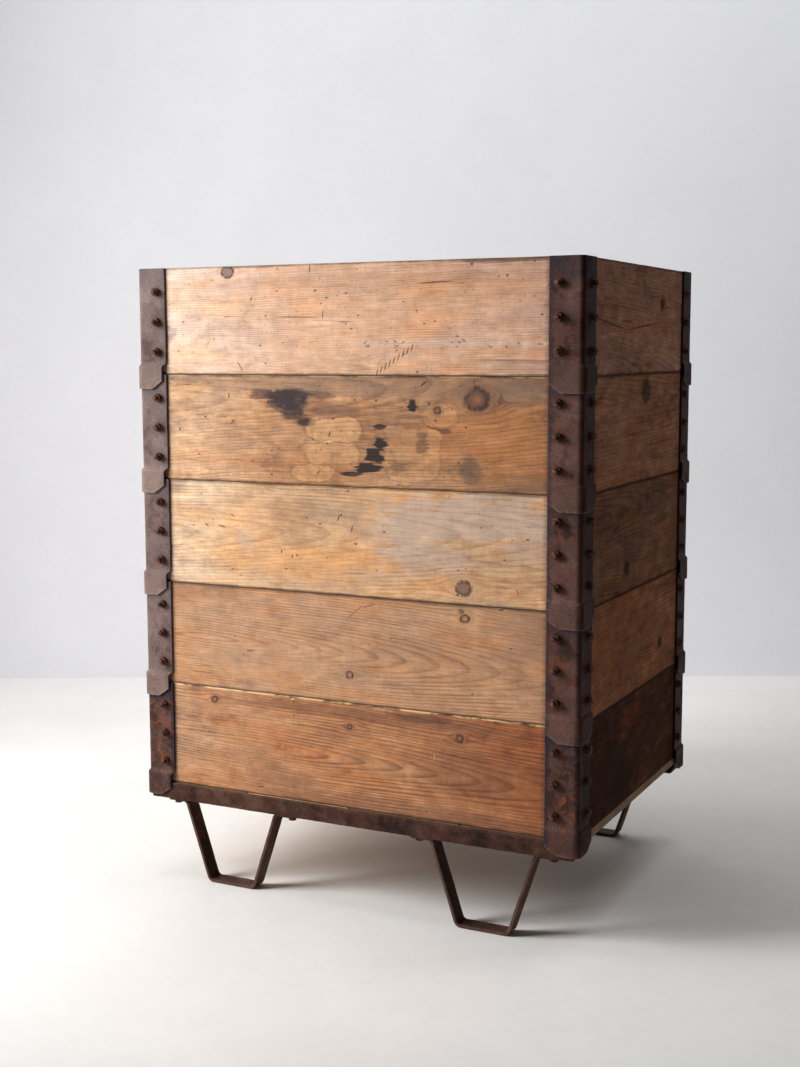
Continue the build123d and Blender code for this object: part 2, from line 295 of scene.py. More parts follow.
def angle_sheet(node, side_x, side_y, seed):
    """Rows of points down one corner angle: flanges, joggle and clipped lip, outside then inside.

    Each row runs from the free edge of the front or back flange, round the bend, to the side flange's
    free edge, and returns inside the plate. The marks hold each point's place in from the free edge,
    above the collar's bottom edge, above the lip's own bottom edge, and how far its face looks sideways.
    """
    low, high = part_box(node)
    lip_out = max(abs(low.x), abs(high.x)) - FACE_X
    seam = low.z + LIP_DROP
    lip_start = seam + LIP_TOP - JOGGLE_MARGIN
    upright_height = high.z - seam - JOGGLE_TOP - 2 * MM
    upright = high.z - np.concatenate([[0, 0.6 * MM, 2 * MM], np.arange(6 * MM, upright_height, 4 * MM)])
    joggle = seam + np.linspace(JOGGLE_TOP + JOGGLE_MARGIN, LIP_TOP - JOGGLE_MARGIN, 9)
    down_lip = np.concatenate([np.linspace(0.1, 0.93, 8), [0.975, 1.0]])
    level = np.concatenate([upright, joggle, np.full(len(down_lip), lip_start)])[:, None]
    lip_share = np.concatenate([np.zeros(len(upright) + len(joggle)), down_lip])[:, None]

    from_edge = np.concatenate([[0, 0.012, 0.04], np.linspace(0.09, 1, 18)])
    arc = np.linspace(90, 0, 9)[1:-1]
    flat, bent = np.ones(len(from_edge)), np.ones(len(arc))
    share = np.concatenate([from_edge, bent, from_edge[::-1]])
    turn = np.radians(np.concatenate([90 * flat, arc, 0 * flat]))
    on_front = np.concatenate([flat, 0 * bent, 0 * flat])
    on_side = np.concatenate([0 * flat, 0 * bent, flat])

    in_lip = 1 - smoothstep(seam + LIP_TOP - 2 * MM, seam + JOGGLE_TOP + 3 * MM, level)
    lean = random.Random(seed).uniform(-0.25, 0.25) * MM
    wavy = 0.35 * MM * sheet_noise(DENT_SIZE, seed, 1 - on_front, level, 0.3)
    run = FLANGE - LIP_SETBACK[side_x] * in_lip + wavy + lean * (2 * on_front - 1) - BEND_RADIUS
    inward = run * share
    clip = LIP_CLIP[1] * np.maximum(0, 1 - inward / LIP_CLIP[0])
    lip_end = seam - LIP_DROP + clip + 0.3 * MM * (1 + sheet_noise(DENT_SIZE, seed, inward, 0.0, 0.7))
    z = level + (lip_end - level) * lip_share
    out = lip_out * (1 - smoothstep(seam + LIP_TOP, seam + JOGGLE_TOP, z))
    dish = 0.16 * MM * sheet_noise(DENT_SIZE, seed, inward + 0.1 * on_side, z, 0.5)

    sides = []
    for reach in (BEND_RADIUS + out - 0.12 * MM + dish, BEND_RADIUS + out - PLATE + 0.6 * dish):
        x = -BEND_RADIUS + reach * np.cos(turn) - on_front * run * (1 - share)
        y = -BEND_RADIUS + reach * np.sin(turn) - on_side * run * (1 - share)
        sides.append(np.stack([side_x * (FACE_X + x), side_y * (FACE_Y + y), z], 2))
    marks = np.stack(np.broadcast_arrays(inward, z - seam, z - lip_end, np.cos(turn)), 2)
    return np.concatenate([sides[0], sides[1][:, ::-1]], 1), np.concatenate([marks, marks[:, ::-1]], 1)


def corner_angle(node, body, side_x, side_y, material, seed):
    """One bent sheet: its quads run round the plate, and narrow quads close its top and bottom edges."""
    rows, marks = angle_sheet(node, side_x, side_y, seed)
    index, quads = loop_quads(rows)
    for row in (0, -1):
        out, back = index[row], index[row, ::-1]
        for i in range(len(out) // 2 - 1):
            quad = [out[i], out[i + 1], back[i + 1], back[i]]
            quads.append(quad if row else quad[::-1])
    if side_x * side_y < 0:
        quads = [q[::-1] for q in quads]
    inward, height, above_lip, sideways = marks.reshape(-1, 4).T
    nearest = np.min([np.hypot(inward - (FLANGE - BOLT_INSET), height - h) for h in BOLT_HEIGHTS], 0)
    rim = np.exp(-above_lip / (1.0 * MM)) + 0.3 * np.exp(-np.abs(height - JOGGLE_TOP) / (2 * MM))
    attributes = {"bolt_ring": smoothstep(15 * MM, 6 * MM, nearest), "inward": inward, "height": height,
                  "sideways": sideways, "rim": rim}
    piece(f"{node}_rusty", rows.reshape(-1, 3), quads, attributes, material, body, "angle_steel", [node])


# ---------------------------------------------------------------- nuts, bolts, bars

def solids_of(node):
    """Low and high corner of each separate small solid in a CAD node."""
    rest = np.array([v.co for v in frame["nodes"][node].data.vertices])
    solids = []
    while len(rest):
        near = np.linalg.norm(rest - rest[0], axis=1) < 16 * MM
        solids.append((rest[near].min(0), rest[near].max(0)))
        rest = rest[~near]
    return solids


def lathe(profile, around, origin, direction, twist, shape):
    """Closed solid turned from (radius, height) pairs, standing at origin along direction.

    shape gives the true radius at an angle, from the profile's radius and height there.
    """
    turn = Vector(direction).to_track_quat("Z", "Y").to_matrix()
    angles = [2 * math.pi * i / around for i in range(around)]
    rows = []
    for radius, height in profile:
        ring = []
        for angle in angles:
            r = shape(angle, radius, height)
            spot = Vector((r * math.cos(angle + twist), r * math.sin(angle + twist), height))
            ring.append(Vector(origin) + turn @ spot)
        rows.append(ring)
    return *loop_skin(rows), {}


def nut_mesh(origin, direction, twist):
    """Hexagon nut with chamfered corners and a dished top round the bolt."""
    flats = NUT_FLATS / 2

    def hexagon(angle, radius, height):
        side = flats / math.cos((angle + math.pi / 6) % (math.pi / 3) - math.pi / 6)
        return min(side * 0.995, flats * 1.12, radius)

    below_top = [(2, 1.3), (1.1, 0.8), (1.03, 0.3), (0.95, 0), (0.7, 0)]
    profile = [(NUT_FLATS, 0), (NUT_FLATS, 0.3 * MM)]
    profile += [(flats * share, NUT_HEIGHT - down * MM) for share, down in below_top]
    profile.append((BOLT_RADIUS * 1.02, NUT_HEIGHT - 0.5 * MM))
    return lathe(profile, 36, origin, direction, twist, hexagon)


def bolt_mesh(origin, direction, length, thread, head, twist):
    """Bolt from the head's bearing face at origin: domed or flush head, shank, worn thread."""
    profile = []
    if head == "domed":
        for i in range(7):
            angle = (i + 0.15) / 6.15 * math.pi / 2
            profile.append((HEAD_RADIUS * math.sin(angle), -HEAD_HEIGHT * math.cos(angle)))
        profile += [(HEAD_RADIUS * 0.98, 0), (BOLT_RADIUS, 0)]
    else:
        profile += [(HEAD_RADIUS * 0.8, 0.05 * MM), (HEAD_RADIUS * 0.84, 0.3 * MM), (BOLT_RADIUS, 3.3 * MM)]
    start = length - thread
    steps = round(thread / THREAD_PITCH * 6)
    profile += [(BOLT_RADIUS, start + i * (thread - 1.0 * MM) / steps) for i in range(steps + 1)]
    profile += [(BOLT_RADIUS * 0.86, length - 0.5 * MM), (BOLT_RADIUS * 0.6, length - 0.1 * MM),
                (BOLT_RADIUS * 0.2, length)]

    def threaded(angle, radius, height):
        if height <= start or radius < BOLT_RADIUS:
            return radius
        wave = (height / THREAD_PITCH - angle / (2 * math.pi)) % 1
        return radius - THREAD_DEPTH * abs(2 * wave - 1)

    return lathe(profile, 20, origin, direction, twist, threaded)


def outward_axis(low, high):
    """The axis a nut stands along, and its direction away from the crate's middle."""
    axis = int(np.argmin(np.abs(high - low - NUT_HEIGHT)))
    direction = np.zeros(3)
    direction[axis] = math.copysign(1, (low + high)[axis])
    return axis, direction


def fastener_pieces(collar):
    """Nuts and carriage bolts of one collar, each with its own turn and length."""
    rng = random.Random(collar)
    nuts, bolts = [], []
    inner = [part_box(f"{collar}_right_board")[0].x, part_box(f"{collar}_back_board")[0].y]
    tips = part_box(f"{collar}_bolts")[1]
    for low, high in solids_of(f"{collar}_nuts"):
        middle = (low + high) / 2
        axis, direction = outward_axis(low, high)
        seat = middle - direction * NUT_HEIGHT / 2
        nuts.append(nut_mesh(seat, direction, rng.uniform(0, math.pi / 3)))
        foot = middle.copy()
        foot[axis] = direction[axis] * inner[axis]
        beyond_nut = tips[axis] - abs(seat[axis]) - NUT_HEIGHT
        reach = tips[axis] - inner[axis] - rng.uniform(0, 0.28) * beyond_nut
        bolts.append(bolt_mesh(foot, direction, reach, beyond_nut + 2 * MM, "domed", rng.uniform(0, 6)))
    add_fasteners(collar, collar, nuts, bolts)


def sharpen(obj, degrees):
    """Shade smooth, but leave edges sharper than this angle crisp."""
    obj.data.set_sharp_from_angle(angle=math.radians(degrees))


def add_fasteners(group, body, nuts, bolts):
    for kind, parts in (("nuts", nuts), ("bolts", bolts)):
        obj = piece(f"{group}_{kind}_rusty", *joined(parts), fastener_steel, body, "fastener_steel",
                    [f"{group}_{kind}"])
        sharpen(obj, CRISP_FASTENER)


def leg_fastener_pieces():
    """The base's nuts, below its rails, and its bolts, flush with the top of its boards."""
    rng = random.Random("legs")
    nuts, bolts = [], []
    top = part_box("base_boards")[1].z
    for low, high in solids_of("leg_nuts"):
        middle = (low + high) / 2
        nuts.append(nut_mesh((middle[0], middle[1], high[2]), (0, 0, -1), rng.uniform(0, math.pi / 3)))
        length = top - low[2] + rng.uniform(0.1, 0.6) * MM
        seat = (middle[0], middle[1], top - 0.1 * MM)
        bolts.append(bolt_mesh(seat, (0, 0, -1), length, LEG_BOLT_THREAD, "flush", rng.uniform(0, 6)))
    add_fasteners("leg", "base", nuts, bolts)


def roughened(points, amount, size, seed, low, high):
    """Points moved a little by noise, kept inside a box."""
    moved = points + amount * np.stack([value_noise(points, size, seed + k) for k in range(3)], 1)
    return np.clip(moved, low, high)


def rounded_outline(corners, radii):
    """Closed outline through corner points: each corner is a small arc, and long sides are divided."""
    corners = [Vector(c) for c in corners]
    outline = []
    for before, corner, after, radius in zip(corners[-1:] + corners, corners, corners[1:] + corners, radii):
        before, after = before - corner, after - corner
        r = min(radius, before.length / 2.2, after.length / 2.2)
        a, b = corner + before.normalized() * r, corner + after.normalized() * r
        for t in (0, 0.25, 0.5, 0.75, 1):
            outline.append((1 - t) ** 2 * a + 2 * t * (1 - t) * corner + t ** 2 * b)
    section = []
    for a, b in zip(outline, outline[1:] + outline[:1]):
        count = max(1, round((b - a).length / (4 * MM)))
        section += [a + (b - a) * k / count for k in range(count)]
    return section


def rail_piece(node, side_y):
    """Rolled steel angle: a loop of its L-section at every station along X."""
    low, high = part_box(node)
    outer = high.y if side_y > 0 else -low.y
    inner = outer - (high.y - low.y)
    web_in, flange_top = outer - RAIL_THICK, low.z + RAIL_THICK
    corners = [(outer, low.z), (outer, high.z), (web_in, high.z), (web_in, flange_top), (inner, flange_top),
               (inner, low.z)]
    section = rounded_outline(corners, [1.2 * MM, 0.7 * MM, 1.0 * MM, 2.5 * MM, 1.0 * MM, 0.7 * MM])
    stations = graded(high.x - low.x, 5 * MM, 3 * MM) + low.x
    rows = [[(x, side_y * p.x, p.y) for p in section] for x in stations]
    points, faces = loop_skin(rows)
    if side_y < 0:
        faces = [f[::-1] for f in faces]
    points = roughened(points, 0.28 * MM, 9 * MM, 31 + side_y, np.array(low), np.array(high))
    on_web = np.abs(points[:, 1]) > outer - 2 * RAIL_THICK
    rim = np.exp(-np.abs(points[:, 2] - high.z) / (0.9 * MM)) * on_web
    obj = piece(f"{node}_rusty", points, faces, {"rim": rim}, base_steel, "base", "base_steel", [node])
    sharpen(obj, CRISP_RAIL)


def bent_path(corners, radius):
    """(x, z) points along straight runs joined by arcs, at most about 5 mm apart."""
    steps = 7
    corners = [Vector(c) for c in corners]
    spots = [corners[0]]
    for before, corner, after in zip(corners, corners[1:], corners[2:]):
        into, out = (corner - before).normalized(), (after - corner).normalized()
        turn = into.angle_signed(out)
        back = radius * math.tan(abs(turn) / 2)
        start = corner - into * back
        side = -1 if turn > 0 else 1
        normal = Vector((-into.y, into.x)) * side
        centre = start + normal * radius
        for k in range(steps + 1):
            angle = -turn * k / steps
            arm = start - centre
            spots.append(centre + Vector((arm.x * math.cos(angle) - arm.y * math.sin(angle),
                                          arm.x * math.sin(angle) + arm.y * math.cos(angle))))
    spots.append(corners[-1])
    dense = [spots[0]]
    for a, b in zip(spots, spots[1:]):
        count = max(1, round((b - a).length / (5 * MM)))
        dense += [a + (b - a) * (k + 1) / count for k in range(count)]
    return dense


def leg_piece(node, seed):
    """Flat bar with soft arrises, swept along the bent route of one leg."""
    low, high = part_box(node)
    half_thick, half_wide = BAR_THICK / 2, (high.y - low.y) / 2
    centre_x, centre_y = (low.x + high.x) / 2, (low.y + high.y) / 2
    ear, ear_height = (high.x - low.x) / 2, high.z - half_thick
    slope = (LEG_SHOULDER_HALF - LEG_FOOT_HALF) / high.z
    level = half_thick * math.sqrt(1 + slope ** 2)
    foot = LEG_FOOT_HALF + slope * half_thick - level
    shoulder = LEG_FOOT_HALF + slope * ear_height - level
    route = [(-ear, ear_height), (-shoulder, ear_height), (-foot, half_thick),
             (foot, half_thick), (shoulder, ear_height), (ear, ear_height)]
    path = bent_path(route, LEG_BEND)
    corners = [(-half_wide, -half_thick), (half_wide, -half_thick), (half_wide, half_thick),
               (-half_wide, half_thick)]
    section = rounded_outline(corners, [1.3 * MM] * 4)
    rows = []
    for i, spot in enumerate(path):
        ahead, behind = path[min(i + 1, len(path) - 1)], path[max(i - 1, 0)]
        tangent = (ahead - behind).normalized()
        normal = Vector((-tangent.y, tangent.x))
        rows.append([(centre_x + spot.x + normal.x * p.y, centre_y + p.x, spot.y + normal.y * p.y)
                     for p in section])
    points, faces = loop_skin(rows)
    faces = [f[::-1] for f in faces]
    points = roughened(points, 0.25 * MM, 11 * MM, seed, np.array(low), np.array(high))
    rim = np.exp(-(half_wide - np.abs(points[:, 1] - centre_y)) / (1.1 * MM))
    obj = piece(f"{node}_rusty", points, faces, {"rim": rim}, base_steel, "base", "base_steel", [node])
    sharpen(obj, CRISP_LEG)


def base_wood_pieces():
    """The base's boards, whose figure is moved along from board to board, and its two bearers."""
    low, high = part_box("base_boards")
    width = (high.x - low.x - (BASE_BOARDS - 1) * BASE_GAP) / BASE_BOARDS
    parts = []
    for i in range(BASE_BOARDS):
        left = low.x + i * (width + BASE_GAP)
        ends = (left, low.y, low.z), (left + width, high.y, high.z)
        points, faces, attributes = worn_board(*ends, 1, (2, 1), 400 + 10 * i, wear=0.6)
        attributes["board"] += i * np.array([0.37, 0.0, 0.11])
        parts.append((points, faces, attributes))
    piece("base_boards_worn", *joined(parts), base_wood, "base", "base_wood", ["base_boards"])
    low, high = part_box("bearers")
    parts = []
    for side, seed in ((-1, 470), (1, 480)):
        y = sorted([side * high.y, side * (high.y - BEARER_WIDE)])
        parts.append(worn_board((low.x, y[0], low.z), (high.x, y[1], high.z), 0, (1, side), seed, wear=0.5))
    piece("bearers_worn", *joined(parts), base_wood, "base", "base_wood", ["bearers"])


# ---------------------------------------------------------------- materials

def paint(red, green, blue):
    """Linear colour from the usual 0 to 255 screen values."""
    def linear(c):
        c /= 255
        return c / 12.92 if c <= 0.04045 else ((c + 0.055) / 1.055) ** 2.4
    return (linear(red), linear(green), linear(blue), 1.0)


class Shader:
    """Short calls that add nodes to one tree.

    Values may be numbers, other nodes' outputs, linear colours of four numbers, or screen colours of
    three numbers from 0 to 255.
    """

    def __init__(self, tree):
        self.tree = tree

    def node(self, kind, **settings):
        made = self.tree.nodes.new(kind)
        for key, value in settings.items():
            setattr(made, key, value)
        return made

    def put(self, socket, value):
        if isinstance(value, bpy.types.NodeSocket):
            self.tree.links.new(value, socket)
        elif isinstance(value, tuple) and len(value) == 3:
            socket.default_value = paint(*value)
        elif value is not None:
            socket.default_value = value

    def call(self, kind, values, **settings):
        """Add a node, fill its first inputs with the values, and return its first output."""
        made = self.node(kind, **settings)
        for socket, value in zip(made.inputs, values):
            self.put(socket, value)
        return made.outputs[0]

    def fill(self, kind, values):
        """Add a node, and fill the inputs that the values name."""
        made = self.node(kind)
        for key, value in values.items():
            self.put(made.inputs[key], value)
        return made.outputs

    def use(self, group, *values):
        """Add a node group filled with the values, and return its output, or a list if it has several."""
        made = self.node("ShaderNodeGroup", node_tree=group)
        for socket, value in zip(made.inputs, values):
            self.put(socket, value)
        return made.outputs[0] if len(made.outputs) == 1 else made.outputs

    def math(self, operation, *values, clamp=False):
        return self.call("ShaderNodeMath", values, operation=operation, use_clamp=clamp)

    def add(self, a, b):
        return self.math("ADD", a, b)

    def sub(self, a, b):
        return self.math("SUBTRACT", a, b)

    def mul(self, a, b):
        return self.math("MULTIPLY", a, b)

    def fit(self, value, scale, offset):
        """value * scale + offset"""
        return self.math("MULTIPLY_ADD", value, scale, offset)

    def step(self, value, low, high, to_low=0.0, to_high=1.0):
        """Smooth step of a value from low to high."""
        values = (value, low, high, to_low, to_high)
        return self.call("ShaderNodeMapRange", values, interpolation_type="SMOOTHSTEP")

    def vector(self, x, y, z=0.0):
        return self.call("ShaderNodeCombineXYZ", (x, y, z))

    def length(self, x, y):
        return self.math("SQRT", self.math("MULTIPLY_ADD", x, x, self.mul(y, y)))

    def attribute(self, name, output="Fac"):
        return self.node("ShaderNodeAttribute", attribute_name=name).outputs[output]

    def split(self, vector):
        return self.fill("ShaderNodeSeparateXYZ", {0: vector})

    def noise(self, vector, scale=1.0, detail=2.0, roughness=0.5, distortion=0.0):
        return self.fill("ShaderNodeTexNoise", {"Vector": vector, "Scale": scale, "Detail": detail,
                                                "Roughness": roughness, "Distortion": distortion})[0]

    def cells(self, vector, scale):
        """Distance to the nearest random spot, and that spot's own random colour."""
        outputs = self.fill("ShaderNodeTexVoronoi", {"Vector": vector, "Scale": scale})
        return outputs["Distance"], outputs["Color"]

    def mix(self, factor, a, b, blend="MIX"):
        made = self.node("ShaderNodeMix", data_type="RGBA", blend_type=blend)
        for key, value in ((0, factor), (6, a), (7, b)):
            self.put(made.inputs[key], value)
        return made.outputs[2]

    def ramp(self, value, stops):
        """Colour from three (position, colour) stops, smoothly joined."""
        (low, first), (middle, second), (high, third) = stops
        tone = self.mix(self.step(value, low, middle), first, second)
        return self.mix(self.step(value, middle, high), tone, third)

    def grain_multiply(self, amount, tone, value, low, high):
        """Darken and lighten a tone by a value: grey low where it is 0, grey high where it is 1."""
        shade = self.mix(value, (low, low * 0.97, low * 0.94, 1), (high, high, high, 1))
        return self.mix(amount, tone, shade, "MULTIPLY")

    def bump(self, height, distance, strength):
        values = {"Strength": strength, "Distance": distance, "Height": height}
        return self.fill("ShaderNodeBump", values)[0]

    def object_place(self):
        return self.node("ShaderNodeTexCoord").outputs["Object"]


class Surface(Shader):
    """A material whose nodes end in its Principled shader."""

    def __init__(self, name):
        self.material = bpy.data.materials.new(name)
        self.material.use_nodes = True
        super().__init__(self.material.node_tree)
        self.bsdf = self.tree.nodes["Principled BSDF"]

    def finish(self, colour, roughness, specular, normal=None):
        sockets = {"Base Color": colour, "Roughness": roughness, "Specular IOR Level": specular,
                   "Normal": normal}
        for key, value in sockets.items():
            self.put(self.bsdf.inputs[key], value)
        return self.material


COLOUR_NAMES = ("tone", "colour", "light", "middle", "dark")


def node_group(outputs):
    """Makes a function that adds nodes into a node group: its parameters after s become the inputs."""
    def from_function(build):
        tree = bpy.data.node_groups.new(build.__name__, "ShaderNodeTree")
        inputs = list(inspect.signature(build).parameters)[1:]
        for direction, names in (("INPUT", inputs), ("OUTPUT", outputs.split())):
            for name in names:
                kind = "NodeSocketColor" if name.endswith(COLOUR_NAMES) else "NodeSocketFloat"
                tree.interface.new_socket(name, in_out=direction, socket_type=kind)
        s = Shader(tree)
        results = build(s, *s.node("NodeGroupInput").outputs[:-1])
        if isinstance(results, bpy.types.NodeSocket):
            results = [results]
        for socket, value in zip(s.node("NodeGroupOutput").inputs, results):
            s.put(socket, value)
        return tree
    return from_function


@node_group("flow")
def flow_past_knot(s, flow, u, v, knot_u, knot_v, radius):
    """Grain lines bend round a knot as water bends round a post."""
    du, dv = s.mul(s.sub(u, knot_u), 0.5), s.sub(v, knot_v)
    spread = s.add(s.fit(du, du, s.mul(dv, dv)), s.math("POWER", s.mul(radius, 0.6), 2.0))
    push = s.mul(dv, s.math("POWER", s.mul(radius, 1.25), 2.0))
    return s.sub(flow, s.math("DIVIDE", push, spread))


@node_group("tone grain height streak rag drag")
def growth(s, u, v, w, flow, seed, wander, ripple, heart_v, heart_depth, tilt_v, tilt_w, rings, contrast,
           blotchy, light, middle, dark, late_tone):
    """Softwood seen where the board's faces cut the log's rings, before any knots, stains or wear.

    The tone is what stains cover. The grain is a brightness that still shows through them.
    """
    def lengthwise(per_u, across, per_across):
        """Where to read a noise that is drawn out along the board."""
        return s.vector(s.fit(u, per_u, seed), s.mul(across, per_across), s.mul(w, per_across))

    drift = s.noise(lengthwise(2.1, v, 5.0))
    small_drift = s.noise(lengthwise(14.0, v, 26.0))
    flow = s.fit(s.sub(drift, 0.5), wander, flow)
    flow = s.fit(s.sub(small_drift, 0.5), ripple, flow)

    across = s.sub(s.sub(flow, heart_v), s.mul(u, tilt_v))
    deep = s.add(s.add(w, heart_depth), s.mul(u, tilt_w))
    reach = s.length(across, deep)
    uneven = s.noise(s.vector(seed, s.mul(reach, 90.0)), 1.0, 1.0)
    band = s.math("FRACT", s.fit(reach, rings, s.mul(uneven, 1.4)))
    late = s.mul(s.step(band, 0.42, 0.92), s.step(band, 1.0, 0.93))
    broken = s.noise(lengthwise(6.0, flow, 70.0), 1.0, 4.0, 0.6)
    faded = s.noise(lengthwise(4.0, v, 11.0), 1.3, 2.0)
    late = s.mul(s.mul(late, s.step(broken, 0.32, 0.58, 0.35, 1.0)), s.step(faded, 0.36, 0.6, 0.45, 1.0))

    streak = s.noise(lengthwise(4.5, flow, 170.0), 1.0, 5.0, 0.66)
    fibre = s.noise(lengthwise(24.0, flow, 520.0), 1.0, 3.0, 0.7)
    cloud = s.noise(lengthwise(5.0, v, 13.0), 1.0, 5.0, 0.65)
    mottle = s.noise(s.vector(s.mul(s.add(u, seed), 0.6), v, w), 50.0, 5.0, 0.72)
    warm_place = s.vector(s.fit(u, 7.0, s.add(seed, 3.0)), s.mul(v, 24.0), s.mul(w, 24.0))
    warmth = s.noise(warm_place, 1.0, 4.0, 0.62)
    saw = s.noise(lengthwise(420.0, v, 9.0))
    rag = s.noise(lengthwise(26.0, v, 70.0), 1.0, 4.0, 0.6)
    drag = s.noise(lengthwise(17.0, v, 300.0), 1.0, 3.0, 0.6)

    mixed = s.fit(streak, 0.3, s.fit(cloud, 0.4, s.mul(mottle, 0.3)))
    tone = s.ramp(s.fit(s.sub(mixed, 0.5), blotchy, 0.5), [(0.42, dark), (0.5, middle), (0.58, light)])
    tone = s.mix(s.mul(late, contrast), tone, late_tone)
    tone = s.mix(s.step(warmth, 0.48, 0.64, 0.0, 0.8), tone, (1.08, 0.93, 0.76, 1), "MULTIPLY")
    tone = s.mix(s.step(warmth, 0.52, 0.36, 0.0, 0.8), tone, (0.93, 0.98, 1.08, 1), "MULTIPLY")
    grain = s.mul(s.step(fibre, 0.34, 0.66, 0.88, 1.1), s.step(mottle, 0.34, 0.66, 0.9, 1.1))
    grain = s.mul(s.mul(grain, s.fit(saw, 0.2, 0.9)), s.fit(late, -0.16, 1.03))
    height = s.fit(fibre, 0.5, s.fit(late, 0.3, s.mul(mottle, 0.5)))
    return tone, grain, height, streak, rag, drag


@node_group("tone")
def stain(s, tone, u, v, rag, drag, centre_u, centre_v, per_u, per_v, ragged, strength, colour):
    """Soft oval stain with a ragged rim that runs along the grain."""
    far = s.length(s.mul(s.sub(u, centre_u), per_u), s.mul(s.sub(v, centre_v), per_v))
    ripples = s.fit(s.sub(rag, 0.5), 3.0, s.mul(s.sub(drag, 0.5), 1.5))
    far = s.fit(ripples, ragged, far)
    uneven = s.mul(s.step(far, 1.3, 0.7, 0.0, strength), s.step(rag, 0.34, 0.58, 0.72, 1.0))
    return s.mix(uneven, tone, colour)


@node_group("tone")
def pale_patch(s, tone, u, v, rag, centre_u, centre_v, per_u, per_v, strength, colour):
    """Cleaner, paler wood with a wavy but definite edge and a thin brown tide mark."""
    du = s.math("ABSOLUTE", s.mul(s.sub(u, centre_u), per_u))
    dv = s.math("ABSOLUTE", s.mul(s.sub(v, centre_v), per_v))
    far = s.math("POWER", s.add(s.math("POWER", du, 3.0), s.math("POWER", dv, 3.0)), 1 / 3)
    wobble = s.noise(s.vector(s.add(u, centre_u), v), 34.0, 2.0)
    far = s.fit(s.sub(wobble, 0.5), 1.1, far)
    far = s.fit(s.sub(rag, 0.5), 0.18, far)
    tide = s.mul(s.step(far, 0.93, 1.02), s.step(far, 1.14, 1.04))
    tone = s.mix(s.mul(tide, s.mul(strength, 0.5)), tone, (112, 76, 48))
    cleaned = s.mix(0.5, s.mix(1.0, tone, (1.5, 1.5, 1.45, 1), "MULTIPLY"), colour)
    worn = s.noise(s.vector(s.add(u, centre_u), v), 90.0, 4.0, 0.65)
    cleaned = s.mix(s.step(worn, 0.5, 0.68, 0.0, 0.45), cleaned, (128, 96, 68))
    return s.mix(s.step(far, 1.05, 0.9, 0.0, strength), tone, cleaned)


@node_group("tone sunk")
def knot(s, tone, sunk, u, v, knot_u, knot_v, per_radius, knot_tone, heart_tone, halo_tone):
    """Dark, partly ringed disc with a soft halo."""
    du, dv = s.mul(s.sub(u, knot_u), 0.9), s.sub(v, knot_v)
    wobble = s.noise(s.vector(s.add(u, knot_v), v), s.mul(per_radius, 0.55), 2.0)
    far = s.fit(s.sub(wobble, 0.5), 0.8, s.mul(s.length(du, dv), per_radius))
    patchy = s.noise(s.vector(s.add(u, knot_u), v), s.mul(per_radius, 1.1), 4.0, 0.6)
    disc = s.mix(s.step(s.fit(patchy, 0.8, far), 0.5, 1.15), heart_tone, knot_tone)
    tone = s.mix(s.step(far, 2.6, 0.9, 0.0, 0.5), tone, halo_tone)
    tone = s.mix(s.step(far, 1.2, 0.8, 0.0, 0.78), tone, disc)
    rim = s.mul(s.step(far, 0.62, 0.92), s.step(far, 1.28, 1.0))
    rim = s.mul(rim, s.step(patchy, 0.38, 0.56, 0.15, 1.0))
    return s.mix(s.mul(rim, 0.8), tone, (52, 33, 26)), s.math("MAXIMUM", sunk, rim)


@node_group("tone height")
def pits(s, tone, height, u, v, seed, scale, size, share, stretch):
    """Nail pits and pin holes: a dark spot where a cell's random colour allows one."""
    spot, colour = s.cells(s.vector(s.fit(u, stretch, s.mul(seed, 0.01)), v), scale)
    red, green, _ = s.split(colour)
    width = s.mul(green, size)
    inside = s.step(spot, s.add(width, 0.05), s.mul(width, 0.5))
    pit = s.mul(inside, s.math("LESS_THAN", red, share))
    return s.mix(s.mul(pit, 0.75), tone, (70, 42, 30)), s.sub(height, s.mul(pit, 2.2))


@node_group("tone height")
def gouge(s, tone, height, u, v, rag, centre_u, centre_v, cosine, sine, per_length, per_width, colour):
    """Short scratch or crack with an uneven width."""
    du, dv = s.sub(u, centre_u), s.sub(v, centre_v)
    along = s.mul(s.fit(du, cosine, s.mul(dv, sine)), per_length)
    over = s.mul(s.sub(s.mul(dv, cosine), s.mul(du, sine)), per_width)
    over = s.fit(s.sub(rag, 0.5), 2.4, over)
    mark = s.step(s.fit(along, along, s.mul(over, over)), 1.3, 0.4)
    return s.mix(s.mul(mark, 0.8), tone, colour), s.sub(height, s.mul(mark, 1.5))


